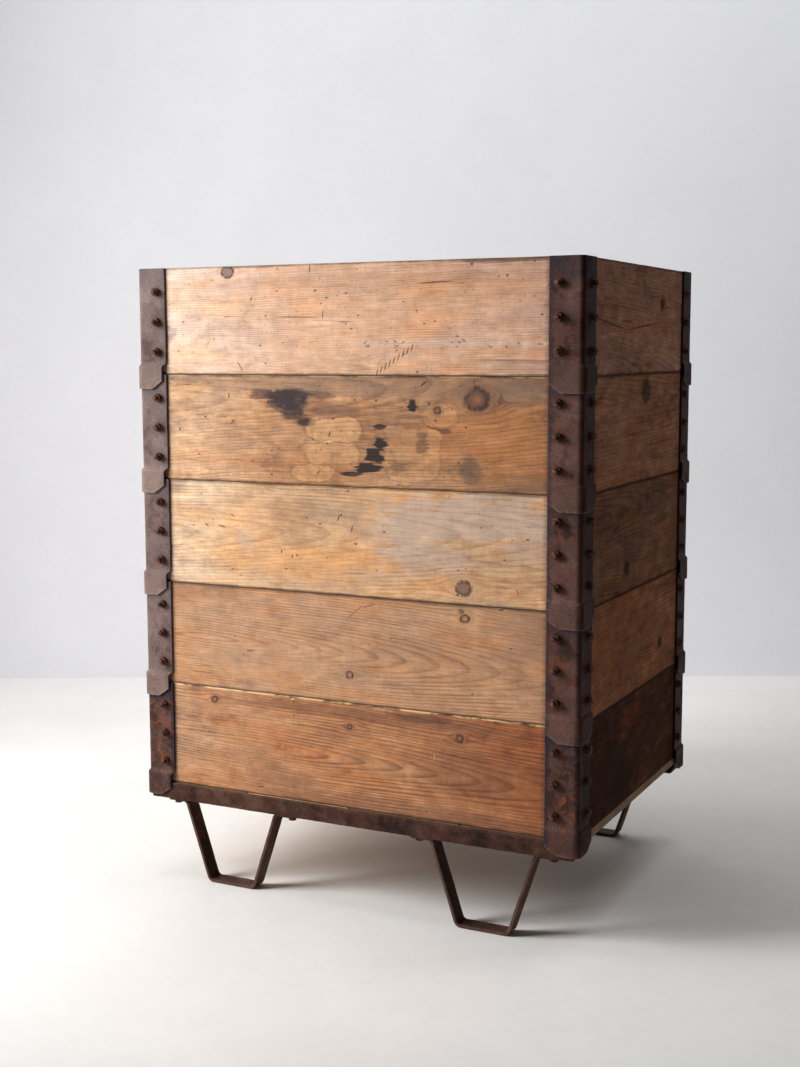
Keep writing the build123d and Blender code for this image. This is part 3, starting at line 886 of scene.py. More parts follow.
@node_group("tone height")
def long_use(s, tone, height, u, v, w, flow, rag, drag, seed, board_height, grime, rubbed, steel_at,
             inside):
    """Cracks along the grain, soiling and painted shade along the seams, soiling beside the steel, a rubbed
    top edge, dull inside.
    """
    crack = s.noise(s.vector(s.fit(u, 2.6, s.add(seed, 9.0)), s.mul(flow, 95.0), s.mul(w, 95.0)), 1.0, 1.0)
    where = s.noise(s.vector(s.fit(u, 7.0, s.add(seed, 4.0)), s.mul(v, 22.0)))
    crack = s.mul(s.step(s.math("ABSOLUTE", s.sub(crack, 0.5)), 0.012, 0.002), s.step(where, 0.58, 0.66))
    tone = s.mix(s.mul(crack, 0.45), tone, (70, 42, 30))
    height = s.sub(height, s.mul(crack, 1.5))
    # Soiling and painted shade: the face darkens within a few millimetres of its top and bottom edges, at
    # the seams between boards.
    in_from_seam = s.math("MINIMUM", v, s.sub(board_height, v))
    dirt = s.step(s.fit(s.sub(rag, 0.5), 0.006, in_from_seam), 0.0046, 0.0004)
    tone = s.mix(s.mul(dirt, grime), tone, (56, 35, 26))
    top_edge = s.step(v, s.sub(board_height, 0.0036), s.sub(board_height, 0.0012))
    tone = s.mix(s.mul(s.mul(top_edge, s.step(rag, 0.42, 0.56)), rubbed), tone, (250, 208, 150))
    beside = s.sub(steel_at, s.fit(s.sub(drag, 0.5), 0.012, s.math("ABSOLUTE", u)))
    tone = s.mix(s.step(beside, 0.009, -0.001, 0.0, 0.6), tone, (62, 36, 27))
    return s.mix(s.mul(s.step(w, 0.0015, 0.006), inside), tone, (96, 68, 48)), height


GOUGE_WIDE = 1.1 * MM
BUMP = 0.6 * MM

PLAIN_WOOD = {"wander": 0.02, "ripple": 0.003, "blotchy": 0.8, "knots": [], "stains": [], "bleached": [],
              "late_stains": [], "gouges": [], "pits": [(70, 0.16, 0.10, 1.0), (160, 0.2, 0.05, 0.4)],
              "grime": 0.75, "rubbed": 0.0, "inside": 0.35, "relief": 0.5, "specular": 0.3,
              "left": (1, 1, 1, 1), "right": (1, 1, 1, 1)}


def wood(name, settings):
    """Old softwood. The settings give its colours, figure, and listed knots, stains and marks.

    Places are in metres: u along the board from its middle, v up from its bottom edge. These are the
    numbers of each mark, after the u and v of its middle:
    knots: radius. stains and late_stains: half width, half height, colour, strength, raggedness.
    bleached: half width, half height, colour, strength. gouges: length, angle, colour.
    pits have no place: spots per metre, size, share of spots pitted, stretch along the board.
    """
    look = {**PLAIN_WOOD, **settings}
    s = Surface(name)

    def values(*names):
        return [look[key] for key in names]

    def stained(tone, stains):
        for centre_u, centre_v, half_u, half_v, colour, strength, ragged in stains:
            tone = s.use(stain, tone, u, v, rag, drag, centre_u, centre_v, 1 / half_u, 1 / half_v, ragged,
                         strength, colour)
        return tone

    seed = look["seed"]
    u, v, w = s.split(s.attribute("board", "Vector"))
    flow = v
    for knot_u, knot_v, radius in look["knots"]:
        flow = s.use(flow_past_knot, flow, u, v, knot_u, knot_v, radius)
    grown = s.use(growth, u, v, w, flow, seed, *values("wander", "ripple"), *look["heart"], 1 / look["ring"],
                  *values("contrast", "blotchy"), *look["colours"], look["late"])
    tone, grain, height, streak, rag, drag = grown
    # Painted light: the left multiplier lightens and pales the face towards its left end, and the right one
    # darkens it towards its right end, as the light falls off across the front.
    tone = s.mix(s.step(u, -0.05, -0.33), tone, look["left"], "MULTIPLY")
    tone = s.mix(s.step(u, 0.05, 0.33), tone, look["right"], "MULTIPLY")
    tone = stained(tone, look["stains"])
    for centre_u, centre_v, half_u, half_v, colour, strength in look["bleached"]:
        tone = s.use(pale_patch, tone, u, v, rag, centre_u, centre_v, 1 / half_u, 1 / half_v, strength,
                     colour)
    tone = stained(tone, look["late_stains"])
    tone = s.mix(1.0, tone, grain, "MULTIPLY")
    sunk = 0.0
    for knot_u, knot_v, radius in look["knots"]:
        tone, sunk = s.use(knot, tone, sunk, u, v, knot_u, knot_v, 1 / radius,
                           *values("knot", "knot_heart", "knot_halo"))
    for scale, size, share, stretch in look["pits"]:
        tone, height = s.use(pits, tone, height, u, v, seed, scale, size, share, stretch)
    for centre_u, centre_v, long, lean, colour in look["gouges"]:
        tone, height = s.use(gouge, tone, height, u, v, rag, centre_u, centre_v, math.cos(lean),
                             math.sin(lean), 2 / long, 1 / GOUGE_WIDE, colour)
    if look["knots"]:
        height = s.sub(height, s.mul(sunk, 1.6))
    tone, height = s.use(long_use, tone, height, u, v, w, flow, rag, drag, seed,
                         *values("height", "grime", "rubbed", "steel_at", "inside"))
    return s.finish(tone, s.fit(streak, 0.25, 0.52), look["specular"], s.bump(height, BUMP, look["relief"]))


def steel(name, look, sheet):
    """Brown-black patinated steel, with rust, blue-black patches and rubbed edges.

    The corner angles' sheet also has marks of its own at its edges, lip and bolts; the strips along its free
    edges and under the lip above are partly painted shade, and its side flanges are darkened with painted
    shade.
    """
    s = Surface(name)
    place = s.object_place()
    broad = s.noise(place, 14 + look["seed"] * 0.01, 4.0, 0.6)
    blotch = s.noise(place, 48, 5.0, 0.65, 0.4)
    patch = s.noise(place, 62 + look["seed"] * 0.01, 4.0, 0.7, 0.8)
    grit = s.noise(place, 420, 4.0, 0.7)
    fleck = s.noise(place, 700, 2.0, 0.6)
    tone = s.ramp(s.fit(broad, 0.5, s.mul(blotch, 0.5)),
                  [(0.40, look["dark"]), (0.5, look["middle"]), (0.60, look["light"])])
    tone = s.mix(s.step(blotch, 0.5, 0.62, 0.0, look["blue_amount"]), tone, look["blue"])
    tone = s.mix(s.step(patch, 0.52, 0.66, 0.0, look["rust_amount"]), tone, look["rust"])
    if sheet:
        inward, height = s.attribute("inward"), s.attribute("height")
        ragged = s.sub(blotch, 0.5)
        on_lip = s.step(s.fit(ragged, 0.01, height), 0.016, 0.010, 0.0, 0.5)
        tone = s.mix(on_lip, tone, look["lip"])
        # Blue-black patina and painted shade in a strip along the flange's free edge.
        free_edge = s.step(s.fit(ragged, 0.02, inward), 0.0085, 0.002, 0.0, look["strip"])
        tone = s.mix(free_edge, tone, look["blue"])
        # Grime and painted shade in a band just under the lip of the collar above.
        under_lip = s.step(s.fit(ragged, 0.03, height), 0.118, 0.131, 0.0, look["strip"])
        tone = s.mix(under_lip, tone, look["blue"])
        halo = s.mul(s.attribute("bolt_ring"), s.step(blotch, 0.4, 0.58))
        tone = s.mix(s.mul(halo, look["halo"]), tone, look["halo_colour"])
        # Painted shade: the side flanges, whose faces look sideways, are multiplied darker by the side tint.
        tone = s.mix(s.step(s.attribute("sideways"), 0.5, 0.95), tone, look["side_flange_shade"], "MULTIPLY")
    tone = s.grain_multiply(0.45, tone, s.step(grit, 0.34, 0.66), 0.62, 1.4)
    tone = s.mix(s.step(fleck, 0.66, 0.74, 0.0, 0.4), tone, look["fleck"])
    rubbed = s.mul(s.attribute("rim"), s.step(grit, 0.36, 0.58))
    tone = s.mix(s.math("MULTIPLY", rubbed, look["edge"], clamp=True), tone, look["bare"])
    height = s.fit(grit, 0.6, s.mul(blotch, 0.8))
    return s.finish(tone, s.step(blotch, 0.3, 0.7, 0.5, 0.68), 0.09, s.bump(height, BUMP, 0.5))


def rusty_fasteners():
    s = Surface("rusty_fasteners")
    place = s.object_place()
    blotch = s.noise(place, 240, 4.0, 0.6)
    grit = s.noise(place, 1300, 3.0, 0.6)
    tone = s.ramp(blotch, [(0.38, (36, 23, 19)), (0.52, (72, 43, 33)), (0.64, (126, 72, 48))])
    tone = s.mix(0.5, tone, s.mix(grit, (0.45, 0.42, 0.4, 1), (1.6, 1.5, 1.45, 1)), "MULTIPLY")
    return s.finish(tone, s.step(grit, 0.3, 0.7, 0.55, 0.8), 0.3, s.bump(s.add(grit, blotch), 0.0005, 0.6))


def stage_surface(name, colour, spread, seed):
    """Painted concrete or plaster, nearly plain, and its faintly cloudy tone."""
    s = Surface(name)
    place = s.object_place()
    cloud = s.noise(place, 2.3 + seed * 0.1, 6.0, 0.68)
    speck = s.noise(place, 60 + seed, 3.0, 0.6)
    shade = s.step(s.fit(cloud, 0.75, s.mul(speck, 0.25)), 0.4, 0.6)
    tone = s.mix(shade, tuple(c * (1 - spread) for c in colour[:3]) + (1,), colour)
    return s, tone


# ---------------------------------------------------------------- what each board looks like

TAN = ((230, 188, 154), (214, 168, 135), (196, 148, 114))
OCHRE = ((204, 156, 112), (182, 134, 94), (148, 106, 74))
HONEY = ((223, 181, 139), (203, 160, 119), (178, 135, 99))
BEIGE = ((201, 157, 120), (186, 141, 106), (162, 120, 91))
RUSSET = ((195, 143, 100), (178, 122, 82), (145, 92, 61))
BLACK_BROWN = (38, 22, 17)
BLUE_BLACK = (48, 29, 28)
HIDDEN_STAINS = [(128, 98, 76), (112, 80, 60), (176, 148, 124)]


def scattered_nicks(count, left, right, bottom, top):
    """Small shallow marks strewn along a rubbed band."""
    rng = random.Random(count)
    return [(rng.uniform(left, right), rng.uniform(bottom, top), rng.uniform(0.004, 0.009),
             rng.uniform(-0.6, 0.9), (146, 106, 84)) for _ in range(count)]


# In each look, left and right are painted light: colour multipliers that lighten the board's left end and
# darken its right end.
FRONT_LOOKS = {
    "collar_5": {
        "colours": TAN, "late": (164, 106, 68), "contrast": 0.28, "ring": 0.0031,
        "heart": (0.46, 0.03, 0.02, 0.0), "wander": 0.01, "ripple": 0.0016, "relief": 0.45, "blotchy": 0.6,
        "knots": [(-0.188, 0.144, 0.0085)], "knot": (104, 78, 74), "knot_heart": (112, 84, 80),
        "knot_halo": (214, 166, 130), "rubbed": 0.1, "left": (1.16, 1.45, 1.78, 1),
        "right": (0.91, 0.9, 0.98, 1),
        "pits": [(60, 0.15, 0.2, 1.0), (170, 0.26, 0.2, 0.6), (330, 0.3, 0.12, 1.0)],
        "stains": [
            (0.15, 0.043, 0.15, 0.0045, (214, 184, 164), 0.6, 0.8),
            (0.02, 0.128, 0.3, 0.01, (176, 128, 98), 0.35, 0.4),
            (-0.292, 0.058, 0.014, 0.012, (140, 106, 104), 0.6, 0.4),
            (0.235, 0.151, 0.085, 0.005, (96, 62, 48), 0.8, 0.35),
        ],
        "gouges": [
            (-0.075, 0.08, 0.075, -0.03, (150, 92, 50)), (0.136, 0.123, 0.052, 0.05, (84, 48, 34)),
            *[(0.048 + 0.0066 * i, 0.004 + 0.0042 * i, 0.012, 1.25, (120, 76, 50)) for i in range(9)],
            *scattered_nicks(14, 0.0, 0.29, 0.037, 0.048), (-0.055, 0.145, 0.012, 1.5, (84, 50, 38)),
            (-0.15, 0.106, 0.008, 1.1, (92, 58, 44)), (-0.035, 0.083, 0.014, 1.5, (120, 84, 76)),
            (-0.17, 0.012, 0.018, -1.0, (150, 92, 62)), (-0.19, 0.082, 0.012, 0.1, (150, 96, 60)),
        ],
    },
    "collar_4": {
        "colours": OCHRE, "late": (116, 70, 42), "contrast": 0.42, "ring": 0.004,
        "heart": (0.13, 0.05, 0.05, 0.05), "wander": 0.028, "ripple": 0.0026, "blotchy": 0.9,
        "knots": [(0.197, 0.122, 0.0155), (0.138, 0.107, 0.0045)], "knot": (92, 62, 54),
        "knot_heart": (146, 90, 60), "knot_halo": (122, 82, 54), "grime": 0.65, "rubbed": 0.25,
        "left": (1.3, 1.52, 1.8, 1), "right": (0.88, 0.74, 0.61, 1),
        "pits": [(60, 0.15, 0.16, 1.0), (150, 0.26, 0.18, 0.6), (330, 0.3, 0.1, 1.0)],
        "stains": [
            (0.06, 0.14, 0.34, 0.017, (132, 106, 88), 0.6, 0.5),
            (-0.03, 0.06, 0.17, 0.06, (146, 98, 64), 0.4, 0.5),
            (0.2, 0.065, 0.12, 0.038, (178, 114, 66), 0.55, 0.9),
            (-0.02, 0.104, 0.045, 0.007, (104, 72, 56), 0.6, 0.8),
            (-0.092, 0.12, 0.036, 0.015, BLUE_BLACK, 1.1, 0.6),
            (-0.122, 0.125, 0.038, 0.007, BLUE_BLACK, 0.8, 0.9),
            (-0.058, 0.127, 0.036, 0.006, BLUE_BLACK, 0.6, 0.9),
            (-0.084, 0.102, 0.019, 0.011, BLUE_BLACK, 1.0, 0.6),
            (-0.064, 0.088, 0.017, 0.006, BLUE_BLACK, 1.0, 0.5),
            (0.185, 0.027, 0.017, 0.02, (92, 74, 60), 0.75, 0.45),
            (0.245, 0.012, 0.07, 0.012, (120, 90, 66), 0.6, 0.6),
            (0.235, 0.128, 0.06, 0.016, (138, 112, 90), 0.5, 0.7),
        ],
        "bleached": [
            (-0.02, 0.078, 0.044, 0.017, (214, 168, 118), 0.72),
            (-0.026, 0.046, 0.046, 0.015, (200, 156, 110), 0.55),
            (-0.056, 0.017, 0.034, 0.012, (206, 160, 110), 0.62),
            (0.1, 0.048, 0.046, 0.038, (182, 144, 102), 0.5),
            (0.14, 0.098, 0.03, 0.012, (196, 140, 88), 0.45),
        ],
        "late_stains": [
            (0.052, 0.06, 0.01, 0.01, BLACK_BROWN, 1.6, 0.9),
            (0.043, 0.045, 0.012, 0.01, BLACK_BROWN, 1.6, 0.9),
            (0.03, 0.028, 0.019, 0.006, BLACK_BROWN, 1.6, 0.9),
            (0.006, 0.018, 0.014, 0.003, BLACK_BROWN, 1.2, 0.9),
            (0.052, 0.084, 0.009, 0.004, BLACK_BROWN, 1.1, 1.2),
            (0.101, 0.112, 0.006, 0.008, BLACK_BROWN, 1.5, 1.1),
            (0.116, 0.062, 0.01, 0.014, (96, 68, 46), 0.7, 1.2),
            (0.078, 0.03, 0.012, 0.009, (104, 76, 52), 0.7, 1.2),
            (0.148, 0.08, 0.012, 0.004, (92, 56, 44), 0.8, 1.0),
        ],
        "gouges": [
            (0.134, 0.083, 0.026, -0.15, (94, 50, 36)), (0.118, 0.142, 0.014, 0.6, BLACK_BROWN),
            (-0.19, 0.123, 0.008, 1.3, BLACK_BROWN), (-0.184, 0.086, 0.01, 1.0, (96, 60, 44)),
            (-0.026, 0.072, 0.009, 1.2, BLACK_BROWN), (-0.044, 0.018, 0.009, 0.8, (96, 82, 66)),
        ],
    },
    "collar_3": {
        "colours": HONEY, "late": (170, 108, 62), "contrast": 0.42, "ring": 0.0042,
        "heart": (0.085, 0.045, 0.04, 0.06), "wander": 0.022, "ripple": 0.0022, "blotchy": 0.7,
        "knots": [(0.177, 0.023, 0.0105)], "knot": (104, 74, 66), "knot_heart": (132, 92, 72),
        "knot_halo": (204, 160, 118), "rubbed": 0.15, "left": (1.18, 1.42, 1.74, 1),
        "right": (1.0, 1.01, 1.04, 1),
        "pits": [(44, 0.13, 0.16, 1.0), (150, 0.26, 0.12, 0.6), (330, 0.3, 0.08, 1.0)],
        "stains": [
            (-0.04, 0.04, 0.17, 0.022, (216, 154, 96), 0.55, 0.7),
            (-0.16, 0.095, 0.1, 0.02, (218, 162, 108), 0.4, 0.8),
            (0.2, 0.118, 0.13, 0.032, (194, 166, 147), 0.95, 1.0),
            (0.085, 0.096, 0.045, 0.034, (192, 164, 144), 0.8, 1.2),
            (0.13, 0.06, 0.06, 0.02, (190, 162, 142), 0.8, 1.2),
            (0.28, 0.078, 0.05, 0.016, (186, 154, 132), 0.6, 1.0),
            (0.05, 0.03, 0.05, 0.01, (194, 164, 142), 0.5, 1.1),
            (0.245, 0.03, 0.06, 0.018, (200, 150, 110), 0.4, 0.9),
            (-0.09, 0.112, 0.036, 0.024, (168, 126, 92), 0.65, 0.5),
            (-0.085, 0.08, 0.026, 0.014, (168, 126, 92), 0.5, 0.5),
            (-0.02, 0.12, 0.05, 0.02, (168, 140, 112), 0.5, 0.9),
            (-0.165, 0.07, 0.014, 0.014, (188, 164, 150), 0.5, 0.4),
            (-0.315, 0.148, 0.05, 0.016, (92, 60, 44), 0.6, 0.4),
        ],
        "gouges": [
            (-0.231, 0.088, 0.008, -0.5, BLACK_BROWN), (-0.205, 0.087, 0.014, -0.15, (80, 48, 34)),
            (0.008, 0.094, 0.01, 1.4, BLACK_BROWN), (-0.105, 0.056, 0.006, 1.5, BLACK_BROWN),
            (-0.088, 0.05, 0.006, 1.2, BLACK_BROWN), (-0.08, 0.052, 0.005, 1.9, (80, 48, 34)),
            (-0.186, 0.104, 0.01, -0.5, (120, 76, 44)), (-0.013, 0.108, 0.01, 1.2, (80, 48, 34)),
            (0.155, 0.143, 0.012, 0.8, (176, 112, 60)), (0.255, 0.022, 0.01, 1.9, (150, 96, 62)),
        ],
    },
    "collar_2": {
        "colours": BEIGE, "late": (134, 86, 54), "contrast": 0.42, "ring": 0.0038, "blotchy": 0.6,
        "heart": (0.07, 0.02, -0.02, 0.085), "wander": 0.018, "ripple": 0.002,
        "knots": [(0.179, 0.134, 0.0058), (0.174, 0.143, 0.0028), (0.003, 0.04, 0.0052)],
        "knot": (96, 66, 52), "knot_heart": (176, 126, 90), "knot_halo": (170, 122, 86),
        "left": (0.97, 1.0, 1.0, 1), "right": (0.94, 0.87, 0.83, 1),
        "pits": [(52, 0.15, 0.1, 1.0), (150, 0.22, 0.08, 0.6)],
        "stains": [
            (-0.25, 0.142, 0.08, 0.012, (134, 96, 72), 0.5, 0.6),
            (0.27, 0.125, 0.035, 0.03, (150, 116, 94), 0.5, 0.5),
            (0.12, 0.085, 0.1, 0.016, (158, 116, 88), 0.4, 0.7),
        ],
        "gouges": [
            (0.012, 0.13, 0.034, 0.72, (146, 100, 66)), (0.034, 0.14, 0.026, 0.3, (140, 96, 64)),
            (-0.16, 0.06, 0.016, 0.1, (130, 86, 52)), (0.175, 0.072, 0.01, -0.5, (140, 92, 56)),
            (0.232, 0.15, 0.01, 0.2, BLACK_BROWN),
        ],
    },
    "collar_1": {
        "colours": RUSSET, "late": (100, 52, 28), "contrast": 0.65, "ring": 0.0042, "blotchy": 0.7,
        "heart": (0.072, 0.012, -0.03, 0.07), "wander": 0.02, "ripple": 0.0026, "rubbed": 0.75,
        "knots": [(-0.223, 0.134, 0.005), (0.172, 0.12, 0.0056), (0.002, 0.118, 0.004)],
        "knot": (84, 52, 40), "knot_heart": (150, 96, 64), "knot_halo": (140, 86, 56),
        "left": (1.04, 1.26, 1.5, 1), "right": (0.78, 0.56, 0.42, 1),
        "pits": [(52, 0.15, 0.1, 1.0), (150, 0.22, 0.08, 0.6)],
        "stains": [
            (0.02, 0.137, 0.22, 0.009, (116, 76, 54), 0.6, 0.6),
            (0.12, 0.142, 0.05, 0.006, (74, 48, 40), 0.6, 0.6),
            (-0.12, 0.03, 0.05, 0.016, (128, 84, 60), 0.4, 0.8),
            (0.21, 0.075, 0.1, 0.034, (124, 78, 52), 0.45, 0.8),
            (0.1, 0.01, 0.22, 0.01, (120, 78, 56), 0.5, 0.6),
        ],
        "gouges": [
            (-0.088, 0.15, 0.012, 0.6, (250, 214, 160)), (0.225, 0.149, 0.01, 0.1, BLACK_BROWN),
            (-0.109, 0.077, 0.008, 1.3, (190, 140, 96)), (0.133, 0.09, 0.012, 1.5, (196, 146, 98)),
            (-0.145, 0.012, 0.012, 0.1, BLACK_BROWN),
        ],
    },
}

# The right boards' own wood is darker, and their colours, knots and marks are darkened further with painted
# shade, as that side faces away from the light.
SIDE_LOOKS = {
    "collar_5": {
        "colours": ((192, 142, 116), (168, 120, 96), (132, 91, 71)), "late": (112, 76, 58),
        "knots": [(0.1, 0.1, 0.007)],
        "gouges": [(-0.13, 0.068, 0.13, -0.1, (50, 32, 26)), (0.01, 0.067, 0.15, 0.08, (46, 28, 22)),
                   (-0.083, 0.046, 0.036, 0.9, (56, 36, 28))]},
    "collar_4": {
        "colours": ((186, 132, 102), (162, 111, 83), (126, 84, 62)), "late": (108, 70, 50),
        "stains": [(0.028, 0.127, 0.022, 0.018, (58, 40, 31), 0.85, 0.25)]},
    "collar_3": {
        "colours": ((150, 104, 76), (126, 85, 61), (94, 62, 44)), "late": (78, 50, 36),
        "knots": [(-0.05, 0.035, 0.009)], "contrast": 0.5},
    "collar_2": {
        "colours": ((172, 114, 78), (147, 94, 63), (112, 70, 46)), "late": (88, 53, 35),
        "knots": [(0.12, 0.05, 0.007)]},
    "collar_1": {
        "colours": ((110, 62, 34), (76, 38, 18), (46, 22, 9)), "late": (34, 16, 6),
        "stains": [(-0.1, 0.05, 0.14, 0.05, (40, 24, 16), 0.6, 0.7)]},
}


def number_of(collar):
    return int(collar.split("_")[1])


def hidden_look(collar, side, rng):
    """The left and back boards aren't seen from the front: the same wood with figure of its own."""
    front = FRONT_LOOKS[collar]
    look = {k: front[k] for k in ("colours", "late", "contrast", "ring", "knot", "knot_heart", "knot_halo")}
    reach = 0.26 if side == "back" else 0.18

    def draws(*ranges):
        return tuple(rng.uniform(low, high) for low, high in ranges)

    along, up = (-reach, reach), (0.01, 0.14)
    look["heart"] = draws((-0.05, 0.2), (0.01, 0.06), (-0.05, 0.05), (0.03, 0.09))
    look["knots"] = [draws(along, (0.02, 0.13), (0.004, 0.012)) for _ in range(rng.randint(1, 3))]
    look["stains"] = [(*draws(along, up, (0.03, 0.15), (0.006, 0.03)), rng.choice(HIDDEN_STAINS),
                       *draws((0.3, 0.6), (0.5, 0.9))) for _ in range(4)]
    look["gouges"] = [(*draws(along, up, (0.006, 0.03), (-0.4, 1.6)), (90, 56, 42)) for _ in range(5)]
    return look


def board_look(collar, side):
    """Look of one board. Only the front boards have marks placed after the photograph's."""
    rng = random.Random(f"{collar} {side}")
    if side == "front":
        look = dict(FRONT_LOOKS[collar])
    elif side == "right":
        # Painted shade: the right boards' knot colours are darkened, as that side faces away from the light.
        heart = (rng.uniform(-0.02, 0.17), 0.03, rng.uniform(-0.05, 0.05), rng.uniform(0.05, 0.09))
        look = {"contrast": 0.42, "ring": 0.005, "knot": (44, 30, 24), "knot_heart": (70, 48, 36),
                "knot_halo": (72, 50, 38), "wander": 0.03, "specular": 0.02, "heart": heart,
                **SIDE_LOOKS[collar]}
    else:
        look = hidden_look(collar, side, rng)
    look["steel_at"] = (FACE_X if side in ("front", "back") else FACE_Y) - FLANGE
    look["height"] = BOARD_HEIGHT
    look["seed"] = number_of(collar) * 17.3 + {"front": 0, "right": 5.1, "back": 9.7, "left": 13.9}[side]
    return look


LIGHT_PATINA = {"dark": (84, 66, 61), "middle": (112, 93, 89), "light": (136, 117, 112),
                "rust": (122, 84, 64), "rust_amount": 0.35, "blue": (82, 76, 82), "blue_amount": 0.3,
                "strip": 0.35, "lip": (134, 112, 102), "fleck": (176, 156, 146), "edge": 0.7,
                "bare": (170, 152, 140), "halo": 0.5, "halo_colour": (88, 58, 46),
                "side_flange_shade": (0.55, 0.45, 0.4, 1)}
DARK_PATINA = {"dark": (60, 41, 35), "middle": (90, 63, 56), "light": (114, 84, 76),
               "rust": (124, 68, 46), "rust_amount": 0.5, "blue": (52, 46, 54), "blue_amount": 0.4,
               "strip": 0.6, "lip": (100, 76, 66), "fleck": (158, 132, 120), "edge": 0.55,
               "bare": (150, 130, 114), "halo": 0.65, "halo_colour": (98, 52, 36),
               "side_flange_shade": (0.42, 0.27, 0.2, 1)}
RUSTED_PATINA = {**DARK_PATINA, "rust": (134, 72, 44), "rust_amount": 0.75, "blue": (40, 40, 50),
                 "blue_amount": 0.75, "light": (118, 80, 66), "strip": 0.8, "lip": (72, 50, 46)}


def patina(number, side_x, side_y):
    base = RUSTED_PATINA if number == 1 else LIGHT_PATINA if side_x < 0 and side_y < 0 else DARK_PATINA
    return {**base, "seed": number * 10 + side_x + 2 * side_y}


# ---------------------------------------------------------------- the crate

low_board, high_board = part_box("collar_1_front_board")
BOARD_HEIGHT = high_board.z - low_board.z
FACE_Y = -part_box("front_rail")[0].y
PLATE = FACE_Y + low_board.y
FACE_X = high_board.x + PLATE
LIP_DROP = low_board.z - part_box("collar_1_front_left_angle")[0].z
nut_middles = [(low + high) / 2 for low, high in solids_of("collar_1_nuts")]
nuts_seen = [p for p in nut_middles if p[1] < -FACE_Y and p[0] > 0]
BOLT_HEIGHTS = sorted({round(float(p[2] - low_board.z), 4) for p in nuts_seen})
BOLT_INSET = FACE_X - float(nuts_seen[0][0])

# For each side of a collar: the axis its board runs along, and the axis and sign of its outer face
SIDES = {"front": (0, (1, -1)), "back": (0, (1, 1)), "left": (1, (0, -1)), "right": (1, (0, 1))}

fastener_steel = rusty_fasteners()
base_steel = steel("base_steel", {"dark": (40, 26, 21), "middle": (68, 44, 36), "light": (92, 64, 52),
                                  "rust": (100, 60, 42), "rust_amount": 0.25, "blue": (54, 42, 40),
                                  "blue_amount": 0.2, "fleck": (136, 112, 100), "edge": 0.4,
                                  "bare": (128, 104, 92), "seed": 3}, False)
base_wood = wood("base_wood", {"colours": ((222, 180, 124), (202, 158, 106), (170, 126, 82)),
                               "late": (150, 102, 62), "contrast": 0.35, "ring": 0.005, "seed": 71,
                               "heart": (0.3, 0.05, 0.02, 0.03), "height": 0.2, "grime": 0.2, "inside": 0.0,
                               "steel_at": 0.2445})

for collar in COLLARS:
    number = number_of(collar)
    for index, (side, (along, outside)) in enumerate(SIDES.items()):
        material = wood(f"{collar}_{side}_wood", board_look(collar, side))
        board_piece(f"{collar}_{side}_board", collar, along, outside, material, number * 100 + index * 7)
    for corner, (side_x, side_y) in CORNERS.items():
        material = steel(f"{collar}_{corner}_steel", patina(number, side_x, side_y), True)
        seed = number * 10 + side_x + 3 * side_y
        corner_angle(f"{collar}_{corner}_angle", collar, side_x, side_y, material, seed)
    fastener_pieces(collar)

rail_piece("front_rail", -1)
rail_piece("back_rail", 1)
for index, corner in enumerate(CORNERS):
    leg_piece(f"{corner}_leg", 60 + index)
leg_fastener_pieces()
base_wood_pieces()


# ---------------------------------------------------------------- studio

def plane(name, corners, material):
    mesh = bpy.data.meshes.new(name)
    mesh.from_pydata(corners, [], [(0, 1, 2, 3)])
    mesh.materials.append(material)
    obj = bpy.data.objects.new(name, mesh)
    bpy.context.scene.collection.objects.link(obj)
    obj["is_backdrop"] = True


def area_light(name, place, target, size, power, colour, spread):
    data = bpy.data.lights.new(name, "AREA")
    data.shape = "RECTANGLE"
    data.size, data.size_y = size
    data.energy = power
    data.color = colour
    data.spread = math.radians(spread)
    obj = bpy.data.objects.new(name, data)
    obj.location = place
    obj.rotation_mode = "QUATERNION"
    obj.rotation_quaternion = (Vector(target) - Vector(place)).to_track_quat("-Z", "Y")
    obj.visible_camera = False
    bpy.context.scene.collection.objects.link(obj)


def floor_material():
    s, tone = stage_surface("floor_paint", paint(243, 242, 240), 0.05, 1)
    return s.finish(tone, 0.6, 0.25)


def wall_material():
    """Painted wall, seen only from its front, so that views from behind look through it."""
    s, tone = stage_surface("wall_paint", paint(237, 238, 242), 0.03, 9)
    s.finish(tone, 0.9, 0.1)
    output = s.tree.nodes["Material Output"]
    clear = s.node("ShaderNodeBsdfTransparent")
    mixed = s.node("ShaderNodeMixShader")
    s.put(mixed.inputs[0], s.node("ShaderNodeNewGeometry").outputs["Backfacing"])
    s.put(mixed.inputs[1], s.bsdf.outputs[0])
    s.put(mixed.inputs[2], clear.outputs[0])
    s.put(output.inputs["Surface"], mixed.outputs[0])
    return s.material


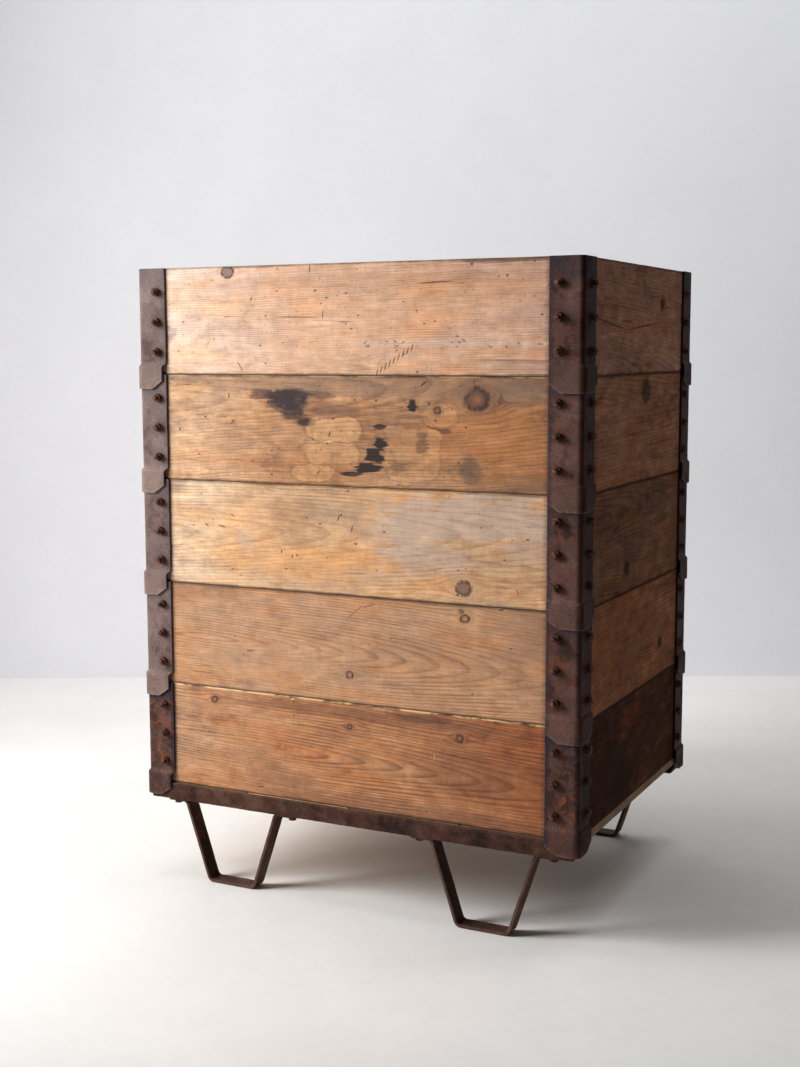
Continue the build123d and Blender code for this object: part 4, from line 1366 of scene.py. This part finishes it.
CAMERA_PLACE = Vector((0.9715, -2.0394, 0.7935))
CAMERA_YAW = math.radians(26.4)
CAMERA_PITCH = math.radians(7.07)
CAMERA_ROLL = math.radians(-0.15)
CAMERA_LENS = 50.0
CAMERA_SENSOR = 36.0
WALL_DISTANCE = 3.55
WALL_REACH = 7
WALL_HIGH = 5
FLOOR_REACH = 9

forward = Vector((-math.sin(CAMERA_YAW), math.cos(CAMERA_YAW), 0))
sideways = Vector((forward.y, -forward.x, 0))
wall_foot = Vector((CAMERA_PLACE.x, CAMERA_PLACE.y, 0)) + forward * WALL_DISTANCE
floor_z = cad_low.z
floor_corners = [(x * FLOOR_REACH, y * FLOOR_REACH, floor_z)
                 for x, y in ((-1, -1), (1, -1), (1, 1), (-1, 1))]
plane("floor", floor_corners, floor_material())
wall_corners = [wall_foot + sideways * across * WALL_REACH + Vector((0, 0, up * WALL_HIGH))
                for across, up in ((-1, 0), (1, 0), (1, 1), (-1, 1))]
plane("wall", wall_corners, wall_material())

area_light("window", (-1.5, -1.3, 1.3), (0, -0.1, 0.5), (0.9, 1.4), 30, (1.0, 0.997, 0.99), 120)
for name, shift, power in (("wash_left", -1.0, 11), ("wash_middle", 0.0, 8), ("wash_right", 1.2, 12)):
    foot = wall_foot + sideways * shift
    place = foot - forward * 1.3 + Vector((0, 0, 3.0))
    area_light(name, place, foot + Vector((0, 0, 0.8)), (1.6, 0.5), power, (1.0, 1.0, 1.0), 140)

world = bpy.data.worlds.new("studio")
bpy.context.scene.world = world
world.use_nodes = True
background = world.node_tree.nodes["Background"]
background.inputs["Color"].default_value = (0.93, 0.96, 1.0, 1)
background.inputs["Strength"].default_value = 0.02
bpy.context.scene.view_settings.view_transform = "Standard"

camera_data = bpy.data.cameras.new("camera")
camera_data.lens = CAMERA_LENS
camera_data.sensor_width = CAMERA_SENSOR
camera = bpy.data.objects.new("camera", camera_data)
bpy.context.scene.collection.objects.link(camera)
turn = (Matrix.Rotation(CAMERA_YAW, 4, "Z") @ Matrix.Rotation(math.pi / 2 - CAMERA_PITCH, 4, "X")
        @ Matrix.Rotation(CAMERA_ROLL, 4, "Z"))
camera.matrix_world = Matrix.Translation(CAMERA_PLACE) @ turn
bpy.context.scene.camera = camera

model_low, model_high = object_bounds()
